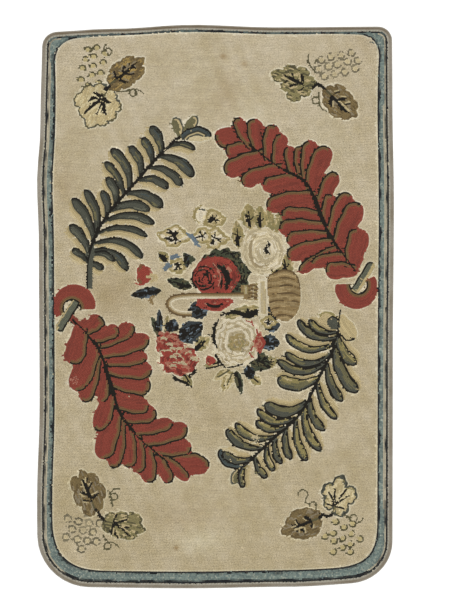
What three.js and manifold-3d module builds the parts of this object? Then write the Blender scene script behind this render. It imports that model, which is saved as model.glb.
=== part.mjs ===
// Hooked rug, lying face up on the floor: a pile of wool loops on a cloth foundation,
// with its hem held in a folded tape that is sewn round the whole edge.
// Millimetres, +Z up. X runs across the rug and +Y towards its head end.
// The origin is on the floor, under the middle of the rug.
import * as THREE from "three";
import { mergeVertices } from "three/addons/utils/BufferGeometryUtils.js";
import Module from "manifold-3d";

// Driving sizes of the whole rug
const RUG_WIDTH = 965;
const RUG_LENGTH = 1524;
const RUG_THICKNESS = 8; // back stitches, foundation and loops together
const CORNER_RADIUS = { footLeft: 140, footRight: 110, headRight: 38, headLeft: 40 };

// The binding tape, folded lengthwise over the hem
const TAPE_THICKNESS = 1.2;
const TAPE_FACE_WIDTH = 13.5; // what shows of the tape on the face
const TAPE_FOLD_RADIUS = 1.6;
const HEM_THICKNESS = 1.8; // the foundation's own edge, turned in once
const FIT_GAP = 0.3; // between the tape and the cloth inside it

// The pile's rim, where the outermost loops lean over
const PILE_RIM_RADIUS = 2.4;

const POINTS_PER_CORNER = 9;
const POINTS_PER_SHORT_SIDE = 18;
const POINTS_PER_LONG_SIDE = 26;
const ROUND_STEPS = 3;

// A hand-hooked rug is never square. Each row gives how far an edge draws in from the full
// rectangle: along runs from 0 to 1, left to right on the head and foot, foot to head on the sides.
const EDGE_DRAWS_IN = {
  left: [
    { along: 0.0, drawnIn: 2 },
    { along: 0.15, drawnIn: 0 },
    { along: 0.33, drawnIn: 7 },
    { along: 0.62, drawnIn: 5 },
    { along: 0.73, drawnIn: 0 },
    { along: 0.83, drawnIn: 9 },
    { along: 1.0, drawnIn: 14 },
  ],
  right: [
    { along: 0.0, drawnIn: 4 },
    { along: 0.4, drawnIn: 3 },
    { along: 0.68, drawnIn: 0 },
    { along: 0.87, drawnIn: 4 },
    { along: 1.0, drawnIn: 5 },
  ],
  foot: [
    { along: 0.0, drawnIn: 4 },
    { along: 0.43, drawnIn: 0 },
    { along: 0.7, drawnIn: 4 },
    { along: 1.0, drawnIn: 18 },
  ],
  head: [
    { along: 0.0, drawnIn: 20 },
    { along: 0.2, drawnIn: 11 },
    { along: 0.43, drawnIn: 0 },
    { along: 0.66, drawnIn: 7 },
    { along: 1.0, drawnIn: 5 },
  ],
};

const wasm = await Module();
wasm.setup();

// How far an edge draws in at a place along it, easing from one row of its table to the next.
function drawnInAt(rows, along) {
  const next = Math.max(1, rows.findIndex((row) => row.along >= along));
  const [from, to] = [rows[next - 1], rows[next]];
  const share = (along - from.along) / (to.along - from.along);
  const ease = (1 - Math.cos(Math.PI * share)) / 2;
  return from.drawnIn + ease * (to.drawnIn - from.drawnIn);
}

// Moves a point of the planned rectangle to where the uneven cloth has it.
function asHooked({ x, y }) {
  const across = THREE.MathUtils.clamp(x / RUG_WIDTH + 0.5, 0, 1);
  const up = THREE.MathUtils.clamp(y / RUG_LENGTH + 0.5, 0, 1);
  const left = drawnInAt(EDGE_DRAWS_IN.left, up);
  const right = drawnInAt(EDGE_DRAWS_IN.right, up);
  const foot = drawnInAt(EDGE_DRAWS_IN.foot, across);
  const head = drawnInAt(EDGE_DRAWS_IN.head, across);
  return new THREE.Vector2(
    x + THREE.MathUtils.lerp(left, -right, across),
    y + THREE.MathUtils.lerp(foot, -head, up),
  );
}

// The rug's outline, drawn in by inset all round, anticlockwise from the foot's left end.
function outline(inset) {
  const halfWidth = RUG_WIDTH / 2 - inset;
  const halfLength = RUG_LENGTH / 2 - inset;
  const corners = [
    { x: halfWidth, y: -halfLength, radius: CORNER_RADIUS.footRight - inset, turn: -Math.PI / 2 },
    { x: halfWidth, y: halfLength, radius: CORNER_RADIUS.headRight - inset, turn: 0 },
    { x: -halfWidth, y: halfLength, radius: CORNER_RADIUS.headLeft - inset, turn: Math.PI / 2 },
    { x: -halfWidth, y: -halfLength, radius: CORNER_RADIUS.footLeft - inset, turn: Math.PI },
  ];
  const arcs = corners.map(({ x, y, radius, turn }) => {
    const centre = { x: x - Math.sign(x) * radius, y: y - Math.sign(y) * radius };
    return new THREE.EllipseCurve(centre.x, centre.y, radius, radius, turn, turn + Math.PI / 2);
  });
  const points = [];
  arcs.forEach((arc, i) => {
    const sideStart = arcs.at(i - 1).getPoint(1);
    const side = new THREE.LineCurve(sideStart, arc.getPoint(0));
    const sidePoints = i % 2 ? POINTS_PER_LONG_SIDE : POINTS_PER_SHORT_SIDE;
    points.push(...side.getPoints(sidePoints).slice(0, -1));
    points.push(...arc.getPoints(POINTS_PER_CORNER).slice(0, -1));
  });
  return points.map(asHooked);
}

// A flat piece inside the outline at inset, from one height to another. With innerInset it is
// a band that leaves the middle open, and with a rim its edges are rounded.
function layer({ inset, innerInset = null, from, to, rim = 0 }) {
  const shape = new THREE.Shape(outline(inset));
  if (innerInset !== null) {
    shape.holes.push(new THREE.Path(outline(innerInset)));
  }
  const geometry = new THREE.ExtrudeGeometry(shape, {
    depth: to - from - 2 * rim,
    bevelEnabled: rim > 0,
    bevelThickness: rim,
    bevelSize: rim,
    bevelOffset: -rim,
    bevelSegments: ROUND_STEPS,
  });
  return solid(geometry.translate(0, 0, from + rim));
}

function solid(geometry) {
  geometry.deleteAttribute("normal");
  geometry.deleteAttribute("uv");
  const merged = mergeVertices(geometry);
  return new wasm.Manifold(
    new wasm.Mesh({
      numProp: 3,
      vertProperties: merged.attributes.position.array,
      triVerts: new Uint32Array(merged.index.array),
    }),
  );
}

function surface(manifold) {
  const { vertProperties, triVerts } = manifold.getMesh();
  const geometry = new THREE.BufferGeometry();
  geometry.setAttribute("position", new THREE.BufferAttribute(vertProperties, 3));
  geometry.setIndex(new THREE.BufferAttribute(triVerts, 1));
  geometry.computeVertexNormals();
  return geometry;
}

// Heights in the bound edge, from the floor up: tape, hem, tape
const HEM_BOTTOM = TAPE_THICKNESS + FIT_GAP;
const HEM_TOP = HEM_BOTTOM + HEM_THICKNESS;
const BINDING_TOP = HEM_TOP + FIT_GAP + TAPE_THICKNESS;

// The hooked cloth: the pile, and the thin hem that runs out from it into the tape.
function hookedCloth() {
  const pile = layer({
    inset: TAPE_FACE_WIDTH + FIT_GAP,
    from: 0,
    to: RUG_THICKNESS,
    rim: PILE_RIM_RADIUS,
  });
  const hem = layer({ inset: TAPE_THICKNESS + FIT_GAP, from: HEM_BOTTOM, to: HEM_TOP });
  return pile.add(hem);
}

// The tape is a band with its fold outwards, hollowed from its inner edge for the hem.
function foldedTape() {
  const band = layer({
    inset: 0,
    innerInset: TAPE_FACE_WIDTH,
    from: 0,
    to: BINDING_TOP,
    rim: TAPE_FOLD_RADIUS,
  });
  const fold = layer({
    inset: TAPE_THICKNESS,
    innerInset: TAPE_FACE_WIDTH + 1,
    from: TAPE_THICKNESS,
    to: BINDING_TOP - TAPE_THICKNESS,
  });
  return band.subtract(fold);
}

function piece(name, manifold, look) {
  const mesh = new THREE.Mesh(surface(manifold), new THREE.MeshStandardMaterial(look));
  mesh.name = name;
  return mesh;
}

const rug = new THREE.Group();
rug.name = "hooked_rug";
rug.add(
  piece("hooked_cloth", hookedCloth(), { color: 0xbcae8e, roughness: 0.95, metalness: 0 }),
  piece("binding_tape", foldedTape(), { color: 0x8f8876, roughness: 0.9, metalness: 0 }),
);

export default rug;
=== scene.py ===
# Hooked rug lying face up on a floor: wool loops on a burlap foundation, with a tape sewn round its edge.
# The pattern is laid out in millimetres on the plan of the cloth, x across it and y towards its head end,
# with the middle of the rug at 0, 0. Meshes are in metres.
import math
from collections import defaultdict

import bpy
import numpy as np
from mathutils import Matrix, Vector


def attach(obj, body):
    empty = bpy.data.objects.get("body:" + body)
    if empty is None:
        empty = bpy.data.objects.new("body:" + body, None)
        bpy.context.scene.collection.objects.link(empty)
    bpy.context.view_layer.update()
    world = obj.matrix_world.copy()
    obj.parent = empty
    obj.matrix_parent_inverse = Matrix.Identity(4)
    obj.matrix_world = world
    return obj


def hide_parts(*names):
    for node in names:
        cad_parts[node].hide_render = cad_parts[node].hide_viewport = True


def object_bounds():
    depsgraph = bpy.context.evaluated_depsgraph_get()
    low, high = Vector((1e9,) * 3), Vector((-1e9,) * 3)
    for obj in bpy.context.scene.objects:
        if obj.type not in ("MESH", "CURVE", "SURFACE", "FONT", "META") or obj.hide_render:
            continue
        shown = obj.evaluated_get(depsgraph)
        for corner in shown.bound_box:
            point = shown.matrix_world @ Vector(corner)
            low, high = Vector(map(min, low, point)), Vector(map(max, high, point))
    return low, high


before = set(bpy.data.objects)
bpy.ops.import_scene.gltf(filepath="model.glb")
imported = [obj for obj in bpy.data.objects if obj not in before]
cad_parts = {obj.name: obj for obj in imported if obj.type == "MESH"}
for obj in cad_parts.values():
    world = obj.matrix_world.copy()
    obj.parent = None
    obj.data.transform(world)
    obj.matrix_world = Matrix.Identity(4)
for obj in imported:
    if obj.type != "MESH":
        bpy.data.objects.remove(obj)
cad_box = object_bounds()

# Camera
# The rug is seen from straight above, as in the photograph, and fills the same box of the picture.
PHOTO_SIZE_PX = (449, 600)
RUG_IN_PHOTO_PX = {"left": 37, "right": 394, "head": 25, "foot": 588}
LENS_MM = 80
SENSOR_MM = 36

rug_length = cad_box[1][1] - cad_box[0][1]
metres_a_pixel = rug_length / (RUG_IN_PHOTO_PX["foot"] - RUG_IN_PHOTO_PX["head"])
rug_middle_px = (
    (RUG_IN_PHOTO_PX["left"] + RUG_IN_PHOTO_PX["right"]) / 2,
    (RUG_IN_PHOTO_PX["head"] + RUG_IN_PHOTO_PX["foot"]) / 2,
)
camera = bpy.data.objects.new("camera", bpy.data.cameras.new("camera"))
camera.data.lens = LENS_MM
camera.data.sensor_width = SENSOR_MM
camera.location = (
    (PHOTO_SIZE_PX[0] / 2 - rug_middle_px[0]) * metres_a_pixel,
    (rug_middle_px[1] - PHOTO_SIZE_PX[1] / 2) * metres_a_pixel,
    PHOTO_SIZE_PX[1] * metres_a_pixel * LENS_MM / SENSOR_MM,
)
bpy.context.collection.objects.link(camera)
bpy.context.scene.camera = camera

# Border
# Rows of wool loops pulled up through the foundation, following the edge of the cloth: a dark line
# along each side of a band that is tan outside and grey-blue inside, wide at the foot, narrow at the head.
MM = 0.001
ROW = 4.0  # from one row of loops to the next
STEP = 4.1  # from loop to loop along a row
ROOM = 2.9  # no loop is hooked closer than this to one that is there already
STRIP = 16  # loops hooked from one length of yarn before the next, of slightly another shade
PILE_WALL_HEIGHT = 5.0  # a height at which the solid's pile has its full width
RAYS = 1200
TRACE, FINE_TRACE = 2, 1.5  # from point to point of a line that rows of loops follow
GRID_X, GRID_Y = 500, 780  # cells of one millimetre from the middle to the edge of the plan
GRID_MARGIN = 8  # cells round the plan that no loop reaches
YARN_SPREAD = 0.05  # how much the shade of a yarn differs from one length to the next

rng = np.random.default_rng(1885)


def wall(node, height):
    """The outline of a CAD node at a height, found by looking in at it from all round."""
    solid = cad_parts[node]
    points = []
    for turn in np.linspace(0, 2 * math.pi, RAYS, endpoint=False):
        out = Vector((math.cos(turn), math.sin(turn), 0))
        _, place, _, _ = solid.ray_cast(out * 2 + Vector((0, 0, height * MM)), -out)
        points.append(place.xy / MM)
    return np.array(points)


def dye(red, green, blue):
    """The colour of a yarn that shows in the photograph as these sRGB values."""
    shown = np.array([red, green, blue]) / 255
    return np.where(shown <= 0.04045, shown / 12.92, ((shown + 0.055) / 1.055) ** 2.4)


def steps_along(path, closed):
    """The way a path runs at each of its points."""
    if closed:
        return np.roll(path, -1, axis=0) - np.roll(path, 1, axis=0)
    return np.gradient(path, axis=0)


def distances(path):
    """How far along a path each of its points is."""
    return np.concatenate([[0], np.cumsum(np.hypot(*np.diff(path, axis=0).T))])


def spaced(path, count, to_end=True):
    """So many points an even step apart along a path, the last of them at its end or a step before it."""
    along = distances(path)
    stops = np.linspace(0, along[-1], count, endpoint=to_end)
    return np.column_stack([np.interp(stops, along, path[:, i]) for i in (0, 1)])


def evenly(path, step, closed=False):
    """Points about a step apart along a path, and the direction of the path at each."""
    if closed:
        path = np.vstack([path, path[:1]])
    count = max(2, round(distances(path)[-1] / step) + (not closed))
    points = spaced(path, count, to_end=not closed)
    ahead = steps_along(points, closed)
    return points, np.arctan2(ahead[:, 1], ahead[:, 0])


def beside(path, distance, closed=False):
    """The path moved sideways, to its left where the distance is positive."""
    ahead = steps_along(path, closed)
    ahead = ahead / np.maximum(np.linalg.norm(ahead, axis=1, keepdims=True), 1e-9)
    return path + distance * np.column_stack([-ahead[:, 1], ahead[:, 0]])


def aside(points, angles, by):
    """Points moved sideways from the row that they are on."""
    return points + by * np.column_stack([-np.sin(angles), np.cos(angles)])


def cells(points):
    """The row and column of each point on the plan's grid."""
    columns = np.clip(np.rint(points[:, 0]).astype(int) + GRID_X, GRID_MARGIN, 2 * GRID_X - GRID_MARGIN)
    rows = np.clip(np.rint(points[:, 1]).astype(int) + GRID_Y, GRID_MARGIN, 2 * GRID_Y - GRID_MARGIN)
    return rows, columns


def enclosed(outline):
    """What a closed outline encloses, above 0 where it goes round to the left and below 0 to the right."""
    ends = np.roll(outline, -1, axis=0)
    return 0.5 * np.sum(outline[:, 0] * ends[:, 1] - outline[:, 1] * ends[:, 0])


def area(outline):
    """The grid cells inside a closed outline, filled line by line."""
    inside = np.zeros((2 * GRID_Y, 2 * GRID_X), bool)
    ends = np.roll(outline, -1, axis=0)
    for y in range(math.ceil(outline[:, 1].min()), math.floor(outline[:, 1].max()) + 1):
        crossed = (outline[:, 1] <= y) != (ends[:, 1] <= y)
        a, b = outline[crossed], ends[crossed]
        across = np.sort(a[:, 0] + (y - a[:, 1]) * (b[:, 0] - a[:, 0]) / (b[:, 1] - a[:, 1]))
        for start, end in zip(across[0::2], across[1::2]):
            inside[y + GRID_Y, math.ceil(start) + GRID_X : math.floor(end) + GRID_X + 1] = True
    return inside


pile_edge, _ = evenly(wall("hooked_cloth", PILE_WALL_HEIGHT), TRACE, closed=True)
taken = ~area(pile_edge)
dyed = np.zeros(taken.shape + (3,), np.float32)
loops = defaultdict(list)
room = range(-math.ceil(ROOM), math.ceil(ROOM) + 1)
room_cells = [(dy, dx) for dy in room for dx in room if math.hypot(dx, dy) <= ROOM]


def hook(piece, points, angles, yarn, spread=YARN_SPREAD):
    """Hooks loops of a yarn at the points where the cloth is still bare, and takes up their room."""
    rows, columns = cells(points)
    bare = ~taken[rows, columns]
    rows, columns = rows[bare], columns[bare]
    count = len(rows)
    if count == 0:
        return
    strips = rng.normal(1, spread, count // STRIP + 2)
    shade = strips[(np.arange(count) + rng.integers(STRIP)) // STRIP] * rng.normal(1, spread / 2, count)
    colours = np.broadcast_to(yarn, (len(points), 3))[bare] * shade[:, None]
    loops[piece].append(np.column_stack([points[bare], angles[bare], colours]))
    for dy, dx in room_cells:
        taken[rows + dy, columns + dx] = True
        dyed[rows + dy, columns + dx] = colours


def hook_line(piece, path, yarn, closed=False):
    """Hooks one row of loops along a path."""
    points, angles = evenly(path, STEP, closed)
    hook(piece, points, angles, yarn)


BORDER_DEPTH = {"left": 27, "right": 27, "foot": 31, "head": 5}
TAN_DEPTH = {"left": 12.5, "right": 10.5, "foot": 5, "head": 4.5}
# Each dark line is a full row with a second one beside it, which comes and goes. How dark that one is
# goes from 0, no darker than the band, to 1.
FULL_ROW = {"left": 1, "right": 1, "foot": 1, "head": 1}
OUTER_SECOND_ROW = {"left": 0.3, "right": 0.25, "foot": 0.75, "head": 0}
INNER_SECOND_ROW = {"left": 0.32, "right": 0.38, "foot": 0.15, "head": 0}
FADE_LENGTHS = (53, 97, 190)  # from one dark stretch to the next
FAINTEST = 0.12  # a second row that is less dark than this is left to the band
WOBBLE = 0.45  # how far the dark loops stray from their line
AT_HEAD = {"left": 0, "right": 0, "foot": 0, "head": 1}
BAND_ROWS = 11  # as many as the band has where it is widest, and some to spare
LINE_SPREAD, BAND_SPREAD = 0.1, 0.08
EDGE_CLEARANCE = 2.4  # from the edge of the pile to the middle of the outermost loops
CORNER_POWER = 14  # how quickly one side gives way to the next at a corner
CORNER_EASE = 60  # how far along the edge the inner line is rounded off at the corners
NAVY = dye(25, 28, 30)
WORN_NAVY = dye(52, 50, 46)
HEAD_TEAL = dye(64, 74, 72)
WORN_TEAL = dye(84, 96, 92)
BAND_TAN = dye(168, 160, 138)
GREY_BLUE = dye(119, 131, 123)
DEEP_BLUE = dye(102, 115, 111)
PALE_BLUE = dye(144, 150, 138)
DARK_YARNS, DARK_SHARES = [NAVY, WORN_NAVY], [0.88, 0.12]
HEAD_YARNS, HEAD_SHARES = [HEAD_TEAL, WORN_TEAL, NAVY], [0.5, 0.25, 0.25]
BLUE_YARNS, BLUE_SHARES = [GREY_BLUE, DEEP_BLUE, PALE_BLUE], [0.5, 0.36, 0.14]


def by_side(values, points):
    """A value that goes from side to side of the rug, eased from one to the next at the corners."""
    reach = (np.abs(points) / np.abs(pile_edge).max(axis=0)) ** CORNER_POWER
    across = np.where(points[:, 0] < 0, values["left"], values["right"])
    along = np.where(points[:, 1] < 0, values["foot"], values["head"])
    return (reach[:, 0] * across + reach[:, 1] * along) / reach.sum(axis=1)


def eased(path, length):
    """A closed path with its corners rounded off, each point being the mean of its stretch."""
    points, _ = evenly(path, TRACE, closed=True)
    reach = round(length / TRACE)
    return np.mean([np.roll(points, i, axis=0) for i in range(-reach, reach + 1)], axis=0)


def mixed(yarns, shares, count, run=5):
    """Yarns for a row of loops, changing every few loops."""
    picks = rng.choice(len(yarns), size=count // run + 2, p=shares)
    return np.array(yarns)[np.repeat(picks, run)[rng.integers(run) :][:count]]


inner_line = eased(beside(pile_edge, by_side(BORDER_DEPTH, pile_edge)[:, None], closed=True), CORNER_EASE)
ground_area = area(inner_line)


def fading(share, points):
    """How dark each loop of a row is: a share on each side of the rug, rising and falling along it."""
    along = np.arange(len(points)) * STEP
    wave = sum(np.sin(2 * np.pi * along / length + rng.uniform(0, 2 * np.pi)) for length in FADE_LENGTHS)
    share = by_side(share, points)
    return np.clip(share + np.minimum(share, 1 - share) * wave, 0, 1)


def band_yarn(points, depth):
    """The yarn of the band: tan near the edge of the rug, and grey-blue further in."""
    tan = depth < by_side(TAN_DEPTH, points)
    blue = mixed(BLUE_YARNS, BLUE_SHARES, len(points), run=1)
    return np.where(tan[:, None], BAND_TAN, blue)


inner_depth = max(BORDER_DEPTH.values())
for line, depth, darkness in (
    (beside(pile_edge, EDGE_CLEARANCE, closed=True), EDGE_CLEARANCE, FULL_ROW),
    (beside(inner_line, -0.5 * ROW, closed=True), inner_depth, FULL_ROW),
    (beside(pile_edge, EDGE_CLEARANCE + ROW, closed=True), EDGE_CLEARANCE + ROW, OUTER_SECOND_ROW),
    (beside(inner_line, -1.5 * ROW, closed=True), inner_depth, INNER_SECOND_ROW),
):
    points, angles = evenly(line, STEP, closed=True)
    shown = fading(darkness, points)
    points = aside(points, angles, rng.normal(0, WOBBLE, (len(points), 1)))
    kept = (shown > FAINTEST) & ~ground_area[cells(points)]
    points, angles, shown = points[kept], angles[kept], shown[kept, None]
    at_head = by_side(AT_HEAD, points)[:, None] > 0.5
    dark = mixed(DARK_YARNS, DARK_SHARES, len(points), run=2)
    teal = mixed(HEAD_YARNS, HEAD_SHARES, len(points), run=3)
    dark = np.where(at_head, teal, dark)
    colours = shown * dark + (1 - shown) * band_yarn(points, depth)
    hook("border", points, angles, colours, LINE_SPREAD)
for row in range(1, BAND_ROWS + 1):
    depth = EDGE_CLEARANCE + row * ROW
    points, angles = evenly(beside(pile_edge, depth, closed=True), STEP, closed=True)
    in_band = ~ground_area[cells(points)]
    points, angles = points[in_band], angles[in_band]
    hook("border", points, angles, band_yarn(points, depth), BAND_SPREAD)

LOOP_HEIGHT = 5.4
LOOP_FOOT_HEIGHT = 2.6  # where a loop comes out of the foundation
LOOP_REACH = 0.86  # half a loop's footprint, as a share of the way to the next loop
LOOP_RIDGE = 0.2
LOOP_LEAN = 0.16
LOOP_LOWEST = 0.9  # the lowest loop's height, as a share of the highest


def add(tree, kind, inputs=None, **settings):
    """A node with its settings, its inputs linked where a socket is given and set where a value is."""
    made = tree.nodes.new(kind)
    for name, value in settings.items():
        setattr(made, name, value)
    for name, value in (inputs or {}).items():
        if isinstance(value, bpy.types.NodeSocket):
            tree.links.new(value, made.inputs[name])
        else:
            made.inputs[name].default_value = value
    return made


def new_object(name, vertices, faces):
    """An object with a plain mesh of its own, in the scene."""
    mesh = bpy.data.meshes.new(name)
    mesh.from_pydata(vertices, [], faces)
    made = bpy.data.objects.new(name, mesh)
    bpy.context.collection.objects.link(made)
    return made


# One loop of yarn: a round foot in the foundation and a short ridge along its row.
foot_turns = np.radians(np.arange(0, 360, 60))
loop_points = [(LOOP_REACH * math.cos(a), LOOP_REACH * math.sin(a), 0) for a in foot_turns]
loop_points += [(LOOP_RIDGE, 0, 1), (-LOOP_RIDGE, 0, 1)]
loop_faces = [(0, 1, 6), (1, 2, 7, 6), (2, 3, 7), (3, 4, 7), (4, 5, 6, 7), (5, 0, 6)]
loop_shape = new_object("loop_of_yarn", loop_points, loop_faces)


def new_tree(kind, name, inputs, outputs):
    """An empty node tree with named inputs and outputs, and the sockets that its inputs come from."""
    tree = bpy.data.node_groups.new(name, kind)
    for way, sockets in (("INPUT", inputs), ("OUTPUT", outputs)):
        for socket, holds in sockets.items():
            tree.interface.new_socket(socket, in_out=way, socket_type="NodeSocket" + holds)
    return tree, add(tree, "NodeGroupInput").outputs


def maths(tree, operation, *values):
    """The result of a sum of one to three values."""
    return add(tree, "ShaderNodeMath", dict(enumerate(values)), operation=operation).outputs[0]


def chance(tree, low, high, seed):
    """A random number for each point."""
    limits = {2: low, 3: high, "Seed": seed}
    return add(tree, "FunctionNodeRandomValue", limits, data_type="FLOAT").outputs[1]


def yarn_tree():
    """Geometry nodes that set a loop or a stitch of yarn on every point, turned along its row and leaning."""
    inputs = {
        "Points": "Geometry",
        "Shape": "Object",
        "Size": "Vector",
        "Lean": "Float",
        "Lowest": "Float",
        "Seed": "Int",
        "Yarn": "Material",
    }
    tree, given = new_tree("GeometryNodeTree", "loops of yarn", inputs, {"Loops": "Geometry"})
    turn = add(tree, "GeometryNodeInputNamedAttribute", {"Name": "turn"}, data_type="FLOAT")
    backwards = maths(tree, "SUBTRACT", 0.0, given["Lean"])
    lean = [chance(tree, backwards, given["Lean"], maths(tree, "ADD", given["Seed"], i)) for i in (1.0, 2.0)]
    euler = add(
        tree, "ShaderNodeCombineXYZ", {"X": lean[0], "Y": lean[1], "Z": turn.outputs["Attribute"]}
    )
    rotation = add(tree, "FunctionNodeEulerToRotation", {"Euler": euler.outputs[0]})
    height = chance(tree, given["Lowest"], 1.0, given["Seed"])
    tall = add(tree, "ShaderNodeCombineXYZ", {"X": 1.0, "Y": 1.0, "Z": height})
    size = add(
        tree, "ShaderNodeVectorMath", {0: tall.outputs[0], 1: given["Size"]}, operation="MULTIPLY"
    )
    shape = add(tree, "GeometryNodeObjectInfo", {"Object": given["Shape"]})
    placing = {
        "Points": given["Points"],
        "Instance": shape.outputs["Geometry"],
        "Rotation": rotation.outputs[0],
        "Scale": size.outputs[0],
    }
    placed = add(tree, "GeometryNodeInstanceOnPoints", placing)
    real = add(tree, "GeometryNodeRealizeInstances", {"Geometry": placed.outputs[0]})
    soft = add(tree, "GeometryNodeSetShadeSmooth", {"Geometry": real.outputs[0]})
    spun = {"Geometry": soft.outputs[0], "Material": given["Yarn"]}
    add(tree, "NodeGroupOutput", {"Loops": add(tree, "GeometryNodeSetMaterial", spun).outputs[0]})
    return tree


def grow(made, tree, inputs):
    """Runs a geometry nodes tree on an object, and leaves the object with the plain mesh that it makes."""
    modifier = made.modifiers.new(tree.name, "NODES")
    modifier.node_group = tree
    for item in tree.interface.items_tree:
        if item.in_out == "INPUT" and item.name in inputs:
            modifier[item.identifier] = inputs[item.name]
    state = bpy.context.evaluated_depsgraph_get()
    mesh = bpy.data.meshes.new_from_object(
        made.evaluated_get(state), preserve_all_data_layers=True, depsgraph=state
    )
    name = made.name
    bpy.data.objects.remove(made)
    mesh.name = name
    plain = bpy.data.objects.new(name, mesh)
    bpy.context.collection.objects.link(plain)
    return plain


def plan_map(piece):
    """A flat map of the piece, seen from above, for baking its colours."""
    mesh = piece.data
    corners = np.empty(len(mesh.loops), np.int32)
    mesh.loops.foreach_get("vertex_index", corners)
    places = np.empty(len(mesh.vertices) * 3, np.float32)
    mesh.vertices.foreach_get("co", places)
    flat = places.reshape(-1, 3)[:, :2]
    flat = (flat - flat.min(axis=0)) / (flat.max(axis=0) - flat.min(axis=0)).max()
    layer = mesh.uv_layers.new(name="OFBake")
    layer.data.foreach_set("uv", flat[corners].ravel())


def ranged(tree, value, start, end, low=0.0, high=1.0):
    """A value taken from a start and an end to a low and a high, and held there beyond them."""
    inputs = {"Value": value, "From Min": start, "From Max": end, "To Min": low, "To Max": high}
    return add(tree, "ShaderNodeMapRange", inputs).outputs[0]


def fibre_group():
    """Spun fibre: an uneven shade round 1 and a fuzzy height, with so many tufts to a metre."""
    inputs = {"Place": "Vector", "Fineness": "Float", "Contrast": "Float"}
    outputs = {"Shade": "Float", "Height": "Float"}
    group, given = new_tree("ShaderNodeTree", "spun fibre", inputs, outputs)
    tufts = {"Vector": given["Place"], "Scale": given["Fineness"], "Detail": 3.0}
    fuzz = add(group, "ShaderNodeTexNoise", tufts).outputs[0]
    darkest = maths(group, "SUBTRACT", 1.0, given["Contrast"])
    lightest = maths(group, "ADD", 1.0, given["Contrast"])
    shade = ranged(group, fuzz, 0.3, 0.7, darkest, lightest)
    add(group, "NodeGroupOutput", {"Shade": shade, "Height": fuzz})
    return group


spun_fibre = fibre_group()


def new_material(name, roughness, shine):
    """A material, its node tree and its shader."""
    material = bpy.data.materials.new(name)
    material.use_nodes = True
    shader = material.node_tree.nodes["Principled BSDF"]
    shader.inputs["Roughness"].default_value = roughness
    shader.inputs["Specular IOR Level"].default_value = shine
    return material, material.node_tree, shader


def effect(tree, group, **inputs):
    """The results of a shader node group in a material."""
    named = {name.replace("_", " ").capitalize(): value for name, value in inputs.items()}
    return add(tree, "ShaderNodeGroup", named, node_tree=group).outputs


def cover(tree, shader, colour, shade, height, strength, depth):
    """Gives a shader its colour, darker by a shade, and a bump that is so many metres deep."""
    tinted = add(tree, "ShaderNodeVectorMath", {0: colour, "Scale": shade}, operation="SCALE")
    bump = add(tree, "ShaderNodeBump", {"Height": height, "Strength": strength, "Distance": depth})
    tree.links.new(tinted.outputs[0], shader.inputs["Base Color"])
    tree.links.new(bump.outputs[0], shader.inputs["Normal"])


def wool_material():
    """Wool yarn: the colour it was dyed, in uneven fibres, with painted shade and dirt deep between the
    loops.
    """
    material, tree, shader = new_material("hooked wool", roughness=0.95, shine=0.15)
    shader.inputs["Sheen Weight"].default_value = 0.12
    shader.inputs["Sheen Roughness"].default_value = 0.6
    yarn = add(tree, "ShaderNodeAttribute", attribute_name="yarn").outputs["Color"]
    place = add(tree, "ShaderNodeTexCoord").outputs["Object"]
    fibre = effect(tree, spun_fibre, place=place, fineness=620.0, contrast=0.14)
    height = add(tree, "ShaderNodeSeparateXYZ", {0: place}).outputs["Z"]
    # painted shade and dirt: the yarn is darker the lower it lies on a loop, down to 0.7 near its foot
    low, high = (LOOP_FOOT_HEIGHT + 1) * MM, (LOOP_FOOT_HEIGHT + LOOP_HEIGHT) * MM
    shade = maths(tree, "MULTIPLY", fibre["Shade"], ranged(tree, height, low, high, 0.7, 1.0))
    cover(tree, shader, yarn, shade, fibre["Height"], strength=0.35, depth=0.0006)
    return material


wool = wool_material()
loops_of_yarn = yarn_tree()
pile_pieces = []


def give_numbers(made, name, numbers):
    """Gives each point of an object a number of its own."""
    given = made.data.attributes.new(name, "FLOAT", "POINT")
    given.data.foreach_set("value", numbers.astype(np.float32))


def give_yarn(made, colours):
    """Gives each point of an object the colour of its yarn."""
    given = made.data.attributes.new("yarn", "FLOAT_COLOR", "POINT")
    colours = np.column_stack([colours, np.ones(len(colours))])
    given.data.foreach_set("color", colours.astype(np.float32).ravel())


def set_in_yarn(name, points, height, turns, colours, inputs):
    """Sets loops or stitches on points at a height, each with its turn and its colour."""
    places = np.column_stack([points, np.full(len(points), height)]) * MM
    made = new_object(name, places.tolist(), [])
    give_numbers(made, "turn", turns)
    give_yarn(made, colours)
    return grow(made, loops_of_yarn, inputs)


def pile(name, rows=None):
    """Makes the loops hooked for a piece into one mesh, which rides on the rug."""
    rows = np.vstack(loops[name]) if rows is None else rows
    inputs = {
        "Shape": loop_shape,
        "Size": (STEP * MM, ROW * MM, LOOP_HEIGHT * MM),
        "Lean": LOOP_LEAN,
        "Lowest": LOOP_LOWEST,
        "Seed": len(pile_pieces),
        "Yarn": wool,
    }
    made = set_in_yarn(name, rows[:, :2], LOOP_FOOT_HEIGHT, rows[:, 2], rows[:, 3:6], inputs)
    plan_map(made)
    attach(made, "root")
    pile_pieces.append(made)


pile("border")

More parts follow.
